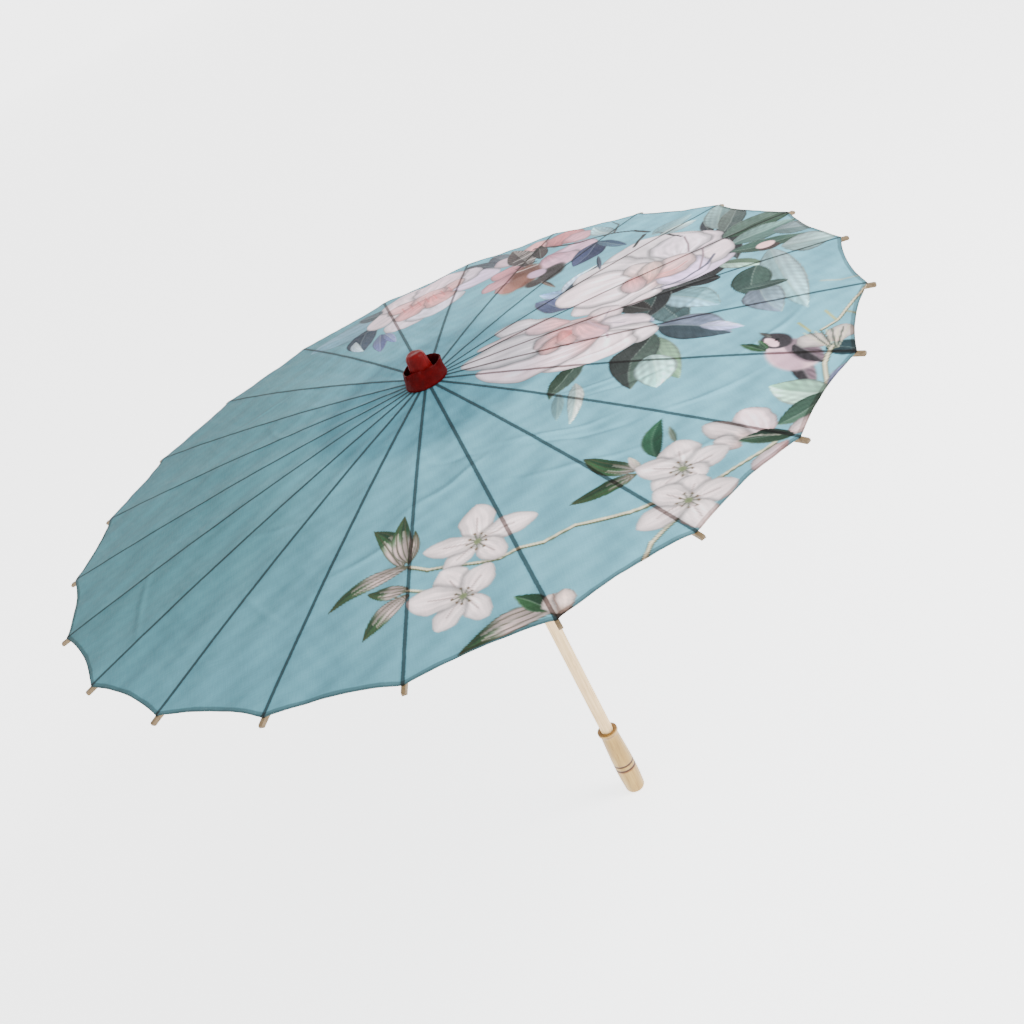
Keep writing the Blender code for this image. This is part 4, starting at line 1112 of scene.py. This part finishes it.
def blossom(centre, tips, half_width, pale=(217, 211, 211)):
    """An open five-petalled blossom, pink-white, greenish in its throat."""
    for number, tip in enumerate(tips):
        base = (centre[0] + (centre[0] - tip[0]) * 0.08, centre[1] + (centre[1] - tip[1]) * 0.08)
        petal(base, tip, half_width[number], pale, (196, 190, 182), depth=0.35, seed=number * 1.7,
              ruffle=0.04, full=0.62, rim=0.12)
        middle = ((centre[0] + 0.62 * (tip[0] - centre[0])), (centre[1] + 0.62 * (tip[1] - centre[1])))
        stroke([centre, middle], 0.12, (176, 160, 158), 0.6)
    stamens(centre, 0.95, 9, 15)
    patch(centre, (0.3, 0.3), 0, (150, 158, 128), 0.8)


def striped_leaf(base, tip, half_width, bend=0.0, green=0.45):
    """A young leaf, striped white and rose at its stalk and green towards its tip."""
    leaf(base, tip, half_width, (206, 194, 192), (186, 174, 170), bend, veins=0.0)
    pick, u, v, reach = along_spine(X, Y, base, tip, bend)
    edge = half_width * np.sin(pi * np.clip(u, 0, 1) ** 0.85) ** 0.85 + 1e-6
    cover = smooth((edge - abs(v)) / EDGE_SOFTNESS + 0.3) * ((u > 0) & (u < 1))
    tone = np.where((v > 0)[:, None], np.array(GREEN, float), np.array(DEEP_GREEN, float))
    stripes = 0.35 + 0.65 * (np.sin(v / edge * 8.0 + 1.2) > -0.1)
    greened = smooth((u - (1 - green) + 0.15) / 0.3) * np.where(u > 1 - green * 0.7, 1, stripes)
    lay(PAINT, pick, tone, cover * greened)
    lay(PAINT, pick, (86, 84, 62), cover * smooth(1 - abs(abs(v) - 0.5 * edge) / 0.13) * 0.75)
    lay(PAINT, pick, (80, 84, 60), cover * smooth(1 - abs(v) / 0.10) * 0.7)
    lay(PAINT, pick, (74, 82, 58), cover * smooth(1 - abs(edge - abs(v)) / 0.18) * 0.8)


def blossom_sprays():
    """The fruit-blossom sprays along the near edge."""
    branch([(-4.0, -28.0), (-2.6, -29.2), (-1.0, -29.7), (1.4, -30.8), (3.0, -31.4), (4.6, -31.2),
            (6.4, -31.5), (9.0, -31.0), (11.2, -31.6), (13.0, -32.1), (15.4, -32.1)], 0.4)
    branch([(-4.6, -30.5), (-3.0, -31.4), (-1.6, -32.4), (-0.4, -33.4)], 0.3)
    branch([(12.2, -38.2), (13.6, -36.2), (15.0, -35.2), (16.4, -34.4)], 0.42)
    striped_leaf((-4.5, -27.6), (-6.7, -20.9), 1.05, -0.5)
    striped_leaf((-4.0, -27.4), (-3.8, -21.1), 0.95, 0.5)
    striped_leaf((-4.1, -27.6), (-3.1, -23.6), 0.45, -0.25, 0.1)
    striped_leaf((-3.9, -27.9), (-11.2, -28.8), 0.9, -1.0)
    striped_leaf((-4.3, -30.4), (-7.8, -28.6), 0.75, 0.2)
    striped_leaf((-4.3, -31.0), (-8.5, -33.8), 0.95, -0.5)
    blossom((1.6, -28.2), [(2.2, -23.7), (6.6, -27.7), (3.4, -31.2), (-1.4, -30.0), (-2.8, -26.8)],
            [1.6, 1.3, 1.2, 1.0, 1.1])
    blossom((-0.3, -33.6), [(-1.6, -29.9), (2.3, -31.4), (1.2, -36.8), (-2.8, -36.2), (-4.7, -31.9)],
            [1.6, 1.4, 1.15, 1.2, 1.5])
    striped_leaf((6.4, -39.0), (-1.6, -39.4), 1.1, -0.9, 0.35)
    leaf((5.4, -38.9), (3.3, -36.0), 0.8, GREEN, DEEP_GREEN, bend=-0.2)
    leaf((7.1, -39.6), (5.6, -39.3), 0.9, (84, 72, 62), (104, 88, 76))
    petal((6.4, -39.6), (5.6, -37.3), 0.95, (222, 212, 208), (180, 160, 146), depth=0.4)
    petal((6.4, -39.6), (6.9, -37.3), 0.85, (218, 208, 204), (180, 160, 146), depth=0.4)
    stroke([(6.0, -37.4), (6.1, -39.4)], 0.14, (140, 112, 100), 0.7)
    striped_leaf((14.9, -27.6), (11.2, -23.6), 1.0, 0.35, 0.75)
    striped_leaf((14.6, -27.9), (9.0, -28.4), 0.8, 0.2, 0.8)
    leaf((14.9, -27.8), (14.5, -25.2), 0.4, STRIPE, (196, 190, 182))
    leaf((16.4, -26.6), (18.1, -22.0), 0.9, (64, 106, 84), (46, 84, 66), bend=0.6, rib=(150, 176, 160))
    leaf((18.2, -25.8), (18.3, -23.2), 0.3, (128, 140, 128), (110, 124, 112))
    blossom((17.8, -29.2), [(18.3, -25.6), (21.6, -28.6), (19.0, -31.0), (15.2, -30.9), (14.6, -27.2)],
            [1.75, 1.2, 1.3, 1.3, 1.3])
    blossom((17.2, -33.1), [(18.6, -30.4), (21.0, -32.8), (17.8, -36.6), (13.0, -34.2), (15.2, -30.6)],
            [1.5, 1.3, 1.5, 1.3, 1.3])


def painted(x, y):
    """Colour of the printed cloth at points of the flat cloth, as linear red, green and blue, with painted
    light and shade across it and painted shading on its creases.
    """
    global X, Y, PAINT
    X, Y = x * 100, y * 100
    # Painted light: the teal is lighter towards the right and darker towards the left.
    tilt = smooth((X + 34) / 62)[:, None]
    PAINT = np.array(TEAL_SHADED_LEFT, float) * (1 - tilt) + np.array(TEAL_LIT_RIGHT, float) * tilt
    shade = (smooth((-X - 2) / 22) * smooth((Y + 32) / 22))[:, None]
    PAINT *= 1 - shade * np.array((0.13, 0.09, 0.095))
    peony_back()
    peony_leaves()
    peony_far()
    peony_near()
    birds()
    edge_flowers()
    blossom_sprays()
    # Painted shading: the cloth is painted darker and lighter on the slopes of its creases.
    lean = (creases(x + 0.0008, y - 0.0008) - creases(x - 0.0008, y + 0.0008)) / 0.0023
    share = np.clip(PAINT, 4, 232) / 255
    light = np.clip(1 - 2.3 * lean, 0.72, 1.25)[:, None] * INK_DEPTH * (share / (1 - share)) ** INK_CONTRAST
    strongest = light.max(axis=1, keepdims=True)
    strength = np.where(light[:, :1] >= strongest, WARM_STRENGTH, INK_STRENGTH)
    return np.clip(strongest * (light / strongest) ** strength, 0.002, 0.86)


def plain_cloth(rows, columns):
    """A flat two-layered strip of cloth, 0 to 1 from centre to edge along X and -1 to 1 across along Y."""
    strip = bmesh.new()
    bmesh.ops.create_grid(strip, x_segments=rows, y_segments=columns, size=1.0)
    bmesh.ops.transform(
        strip, verts=strip.verts, matrix=Matrix.Translation((0.5, 0, 0)) @ Matrix.Diagonal((0.5, 1, 1, 1))
    )
    under = bmesh.ops.extrude_face_region(strip, geom=list(strip.faces))
    moved = [part for part in under["geom"] if isinstance(part, bmesh.types.BMVert)]
    bmesh.ops.translate(strip, verts=moved, vec=(0, 0, -1))
    bmesh.ops.recalc_face_normals(strip, faces=strip.faces)
    mesh = bpy.data.meshes.new("cloth_strip")
    strip.to_mesh(mesh)
    strip.free()
    mesh.shade_smooth()
    mesh.set_sharp_from_angle(angle=radians(40))
    return mesh


def creases(x, y):
    """Unevenness of the stretched cloth, in metres: soft waves, and long folds between some of the ribs."""
    wave = 0.35 * np.sin(61 * x + 23 * y + 1.3) + 0.3 * np.sin(-37 * x + 88 * y + 0.4)
    wave += 0.22 * np.sin(143 * x - 61 * y + 2.0 + 1.5 * np.sin(40 * y))
    wave += 0.2 * np.sin(97 * x + 131 * y + 4.0)
    wave += 0.10 * np.sin(260 * x + 180 * y + 2 * np.sin(50 * x)) + 0.08 * np.sin(-330 * y + 120 * x)
    radius, bearing = np.hypot(x, y), np.degrees(np.arctan2(y, x))
    for middle, reach, out, slant, deep in FOLDS:
        window = np.exp(-(((bearing - middle) / reach) ** 2))
        away = radius - out - slant * (bearing - middle) / reach
        wave += 1.2 * deep * window * np.exp(-((away / 0.0042) ** 2))
    return 0.0009 * wave


def cloth_finish():
    """The print and a weave, darker at the double hem, with painted shade along the glued ribs and inside the
    stretchers' joints.
    """
    material = bpy.data.materials.new("printed_cloth")
    material.use_nodes = True
    tree = material.node_tree
    shader = tree.nodes["Principled BSDF"]

    def attribute(name):
        made = tree.nodes.new("ShaderNodeAttribute")
        made.attribute_name = name
        return made

    flat = tree.nodes.new("ShaderNodeUVMap")
    flat.uv_map = "flat_cloth"
    place = flat.outputs["UV"]
    weft = noise(tree, stretched(tree, place, (80, 1100, 1), 12), 1.0, 2.0)
    warp = noise(tree, stretched(tree, place, (1100, 80, 1), 12), 1.0, 2.0)
    weave = sum_of(tree, "ADD", weft, warp)
    wander = sum_of(tree, "MULTIPLY", sum_of(tree, "SUBTRACT", noise(tree, place, 300.0), 0.5), 0.0009)
    from_rib = sum_of(tree, "ADD", sum_of(tree, "ABSOLUTE", attribute("across").outputs["Fac"]), wander)
    uneven = sum_of(tree, "MULTIPLY", sum_of(tree, "SUBTRACT", noise(tree, place, 45.0), 0.5), 0.003)
    from_edge = sum_of(tree, "ADD", attribute("inward").outputs["Fac"], uneven)
    distance = tree.nodes.new("ShaderNodeVectorMath")
    distance.operation = "LENGTH"
    tree.links.new(place, distance.inputs[0])
    from_middle = distance.outputs["Value"]
    tone = attribute("print").outputs["Color"]
    for place_on_cloth, low, high, out_low, out_high, tint in (
        (weave, 0.75, 1.25, 0.0, 1.0, (1.10, 1.10, 1.10)),
        (noise(tree, place, 9.0, 4.0), 0.3, 0.7, 0.0, 1.0, (0.88, 0.90, 0.91)),
        # Painted shade: darker inside the stretchers' joints, where the hub and stretchers under the cloth
        # keep light off it.
        (from_middle, 0.104, 0.136, 1.0, 0.0, (0.62, 0.68, 0.70)),
        # Darker along each rib: the cloth glued on it, with the rib's shadow through the cloth painted in.
        (from_rib, 0.0012, 0.0022, 1.0, 0.0, (0.24, 0.205, 0.195)),
        (from_rib, 0.0020, 0.0042, 0.35, 0.0, (0.70, 0.74, 0.76)),
        (from_edge, 0.0030, 0.0044, 1.0, 0.0, (0.56, 0.50, 0.48)),
        (from_edge, 0.0006, 0.0014, 1.0, 0.0, (0.62, 0.58, 0.56)),
    ):
        tone = tinted(tree, tone, eased(tree, place_on_cloth, low, high, out_low, out_high), tint)
    tree.links.new(tone, shader.inputs["Base Color"])
    linked(tree, eased(tree, weave, 0.8, 1.2, 0.80, 0.68), shader.inputs["Roughness"])
    shader.inputs["Specular IOR Level"].default_value = 0.12
    raised(tree, weave, 0.3, 0.0002)
    return material


def lay_flat(mesh, from_rib, from_edge, colours):
    """Gives a piece of the cloth its flat layout, its print, and how far each point is from rib and hem."""
    for name, values in (("across", from_rib), ("inward", from_edge)):
        mesh.attributes.new(name, "FLOAT", "POINT").data.foreach_set("value", values.astype(np.float32))
    printed = mesh.color_attributes.new("print", "FLOAT_COLOR", "POINT")
    printed.data.foreach_set("color", colours.astype(np.float32).ravel())
    corner = np.empty(len(mesh.loops), np.int32)
    mesh.loops.foreach_get("vertex_index", corner)
    place = np.empty(len(mesh.vertices) * 3, np.float32)
    mesh.vertices.foreach_get("co", place)
    flat_map = mesh.uv_layers.new(name="flat_cloth")
    flat_map.data.foreach_set("uv", place.reshape(-1, 3)[corner, :2].ravel())


printed_cloth = cloth_finish()
half = PITCH / 2
strips = {True: plain_cloth(280, 84), False: plain_cloth(130, 36)}
printed_ribs = set(range(0, 8)) | set(range(15, 22))
for number in range(RIB_COUNT):
    mesh = strips[number in printed_ribs].copy()
    count = len(mesh.vertices)
    place = np.empty(count * 3, np.float32)
    mesh.vertices.foreach_get("co", place)
    out, across, layer = place.reshape(-1, 3).T.astype(float)
    share = abs(across)
    radius = CLOTH_INNER_RADIUS + (CLOTH_OUTER_RADIUS - CLOTH_INNER_RADIUS) * out
    drawn = HEM_DRAWN_IN * (1 - (1 - share) ** 2)
    edge = CLOTH_OUTER_RADIUS - drawn
    spoke = radius - drawn * out ** 4
    local_x = spoke * (1 - share * (1 - cos(half) ** 2))
    local_y = spoke * across * cos(half) * sin(half)
    bearing = number * PITCH
    x = local_x * cos(bearing) - local_y * sin(bearing)
    y = local_x * sin(bearing) + local_y * cos(bearing)
    sag = smooth(share) * GORE_SAG * 4 * out * (1 - out)
    ridge = RIDGE_HEIGHT * np.exp(-((spoke * across * half) / RIDGE_WIDTH) ** 2)
    from_edge = edge - spoke
    thick = np.where(from_edge < HEM_WIDTH, HEM_THICKNESS, CLOTH_THICKNESS)
    loose = smooth(share * spoke * half / GLUED_WIDTH) * smooth(out * 8)
    lift = creases(x, y) * loose
    z = rib_top(spoke) + CLOTH_ABOVE_RIB - sag + ridge + lift + layer * thick
    mesh.vertices.foreach_set("co", np.stack([x, y, z], 1).astype(np.float32).ravel())
    lay_flat(mesh, local_y, from_edge, np.column_stack([painted(x, y), np.ones(count)]))
    mesh.materials.append(printed_cloth)
    piece = bpy.data.objects.new(f"cloth_{number:02d}", mesh)
    scene.collection.objects.link(piece)
    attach(piece, f"rib_{number:02d}")
    joint = "fold" if number == 0 else f"rib_fold_{number:02d}"
    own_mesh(piece)
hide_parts("canopy")
centre_radii = [CLOTH_HOLE_RADIUS + 0.0014 * step for step in range(7)]
centre_rings = [(radius, rib_top(radius) + CLOTH_ABOVE_RIB) for radius in centre_radii]
centre = turned(
    centre_rings + [(radius, height - CLOTH_THICKNESS) for radius, height in reversed(centre_rings)], 88, True
)
centre_cloth = finished("cloth_centre", centre, printed_cloth, "root", (), 40)
count = len(centre_cloth.data.vertices)
far = np.ones(count)
lay_flat(centre_cloth.data, far, far, np.tile((0.06, 0.16, 0.19, 1.0), (count, 1)))

# Cap: a collar of thin red vinyl wound round the cloth's centre, creased and uneven at its upper edge,
# and a knob of the same vinyl drawn over the shaft's end and the hub's boss.


def vinyl_finish(name, tones, specular):
    """Thin soft vinyl with a fine leathery grain, rubbed here and there."""
    material, tree, shader, place = new_material(name)
    wear = noise(tree, place, 160.0, 4.0)
    grain = noise(tree, place, 1500.0, 2.0)
    tree.links.new(toned(tree, wear, tones), shader.inputs["Base Color"])
    linked(tree, eased(tree, wear, 0.3, 0.7, 0.36, 0.52), shader.inputs["Roughness"])
    shader.inputs["Specular IOR Level"].default_value = specular
    raised(tree, sum_of(tree, "ADD", wear, sum_of(tree, "MULTIPLY", grain, 0.3)), 0.35, 0.0006)
    return material


# One vinyl in two tones: the collar is painted darker as shade, the knob lighter as painted light.
collar_vinyl_shaded = vinyl_finish(
    "vinyl_painted_shade",
    ((0.30, (0.034, 0.0006, 0.0008)), (0.52, (0.043, 0.0008, 0.0011)), (0.75, (0.058, 0.0012, 0.0015))),
    0.03,
)
knob_vinyl_lit = vinyl_finish(
    "red_vinyl",
    ((0.30, (0.060, 0.0010, 0.0013)), (0.52, (0.076, 0.0013, 0.0016)), (0.75, (0.098, 0.0022, 0.0026))),
    0.07,
)
collar_low, collar_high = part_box("cap_collar")
knob_low, knob_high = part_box("cap_knob")
COLLAR_BASE_RADIUS = collar_high.x
COLLAR_TOP_RADIUS = 0.0204
COLLAR_WALL = 0.0011
COLLAR_HOLE = 0.0128
KNOB_TAPER = 0.0026
KNOB_CROWN = 0.0042
KNOB_CROWN_ROUND = 0.0040
KNOB_ROOM = 0.0003
collar_height = collar_high.z - collar_low.z
outer = []
for step in range(15):
    share = step / 14
    radius = COLLAR_BASE_RADIUS + (COLLAR_TOP_RADIUS - COLLAR_BASE_RADIUS) * share - 0.0006 * sin(share * pi)
    outer.append((radius, collar_low.z + collar_height * share))
inner = [(radius - COLLAR_WALL, height) for radius, height in reversed(outer[1:])]
lip = [(COLLAR_TOP_RADIUS - COLLAR_WALL / 2, collar_high.z + 0.0003)]
collar = turned(
    [(COLLAR_HOLE, collar_low.z), (COLLAR_BASE_RADIUS - 0.0006, collar_low.z)] + outer[1:] + lip + inner
    + [(COLLAR_BASE_RADIUS - 0.0030, collar_low.z + 0.0012), (COLLAR_HOLE, collar_low.z + 0.0012)],
    144, closed=True,
)
for vert in collar.verts:
    radius = (vert.co.x ** 2 + vert.co.y ** 2) ** 0.5
    if radius < COLLAR_HOLE + 0.002:
        continue
    bearing = atan2(vert.co.y, vert.co.x)
    up = (vert.co.z - collar_low.z) / collar_height
    swell = 0.0007 * sin(2 * bearing + 0.6) + 0.0006 * sin(3 * bearing + 2.2) + 0.0003 * sin(5 * bearing)
    swell += 0.00025 * sin(9 * bearing + 5 * up) + 0.00018 * sin(17 * bearing - 7 * up)
    crease = 0.0007 * exp(-(((bearing + 1.9 - 0.35 * up) / 0.06) ** 2))
    crease += 0.0006 * exp(-(((bearing + 1.1 + 0.5 * up) / 0.07) ** 2))
    crease += 0.0006 * exp(-(((bearing - 0.9 + 0.4 * up) / 0.07) ** 2))
    pinch = 0.0024 * exp(-((remainder(bearing - 2.9, 2 * pi) / 0.8) ** 2))
    pinch += 0.0040 * exp(-(((bearing + 1.75) / 0.85) ** 2)) - 0.0008 * exp(-(((bearing - 0.5) / 0.7) ** 2))
    grown = radius + (swell - crease - pinch) * up ** 1.2 - 0.0003 * up
    drop = 0.0012 * exp(-(((bearing + 1.35) / 0.22) ** 2)) + 0.0005 * (1 + sin(2 * bearing + 2.4))
    drop += 0.0003 * sin(7 * bearing)
    vert.co.x *= grown / radius
    vert.co.y *= grown / radius
    vert.co.z -= drop * max(0.0, up) ** 3
bmesh.ops.recalc_face_normals(collar, faces=collar.faces)
finished("vinyl_collar", collar, collar_vinyl_shaded, "root", ["cap_collar"], 60)

knob_radius = knob_high.x
knob_side = [
    (
        knob_radius - KNOB_TAPER * (step / 12) ** 1.1,
        knob_low.z + (knob_high.z - KNOB_CROWN - knob_low.z) * step / 12,
    )
    for step in range(13)
]
crown_radius = knob_side[-1][0]
knob_crown = [
    (
        crown_radius - KNOB_CROWN_ROUND * (1 - cos(step * pi / 12)),
        knob_high.z - KNOB_CROWN + KNOB_CROWN * sin(step * pi / 12),
    )
    for step in range(1, 7)
]
knob = turned(
    knob_side + knob_crown
    + [(0.0030, knob_high.z - 0.0001), (0, knob_high.z - 0.0003), (0, shaft_high.z + KNOB_ROOM)]
    + [(SOCKET_RADIUS, shaft_high.z + KNOB_ROOM), (SOCKET_RADIUS, hub_high.z + KNOB_ROOM)]
    + [(HUB_BOSS_RADIUS + KNOB_ROOM, hub_high.z + KNOB_ROOM), (HUB_BOSS_RADIUS + KNOB_ROOM, knob_low.z)],
    120, closed=True,
)
for vert in knob.verts:
    radius = (vert.co.x ** 2 + vert.co.y ** 2) ** 0.5
    if radius < 0.0015 or (radius < HUB_BOSS_RADIUS + 0.0004 and vert.co.z < shaft_high.z + 0.001):
        continue
    bearing = atan2(vert.co.y, vert.co.x)
    up = (vert.co.z - knob_low.z) / (knob_high.z - knob_low.z)
    pleat = 0.00012 * sin(7 * bearing + 3 * up) + 0.00005 * sin(17 * bearing - 5 * up)
    dent = 0.0004 * exp(-(((bearing + 1.0 - up) / 0.12) ** 2))
    dent += 0.0003 * exp(-(((bearing + 2.3 + 0.6 * up) / 0.1) ** 2))
    grown = radius + pleat * (0.4 + up) - dent * up - 0.00025
    vert.co.x *= grown / radius
    vert.co.y *= grown / radius
    vert.co.z -= 0.0004 * up ** 4 * (1 + sin(2 * bearing + 1.0)) * min(1.0, radius / 0.008)
bmesh.ops.recalc_face_normals(knob, faces=knob.faces)
finished("vinyl_knob", knob, knob_vinyl_lit, "root", ["cap_knob"], 50)
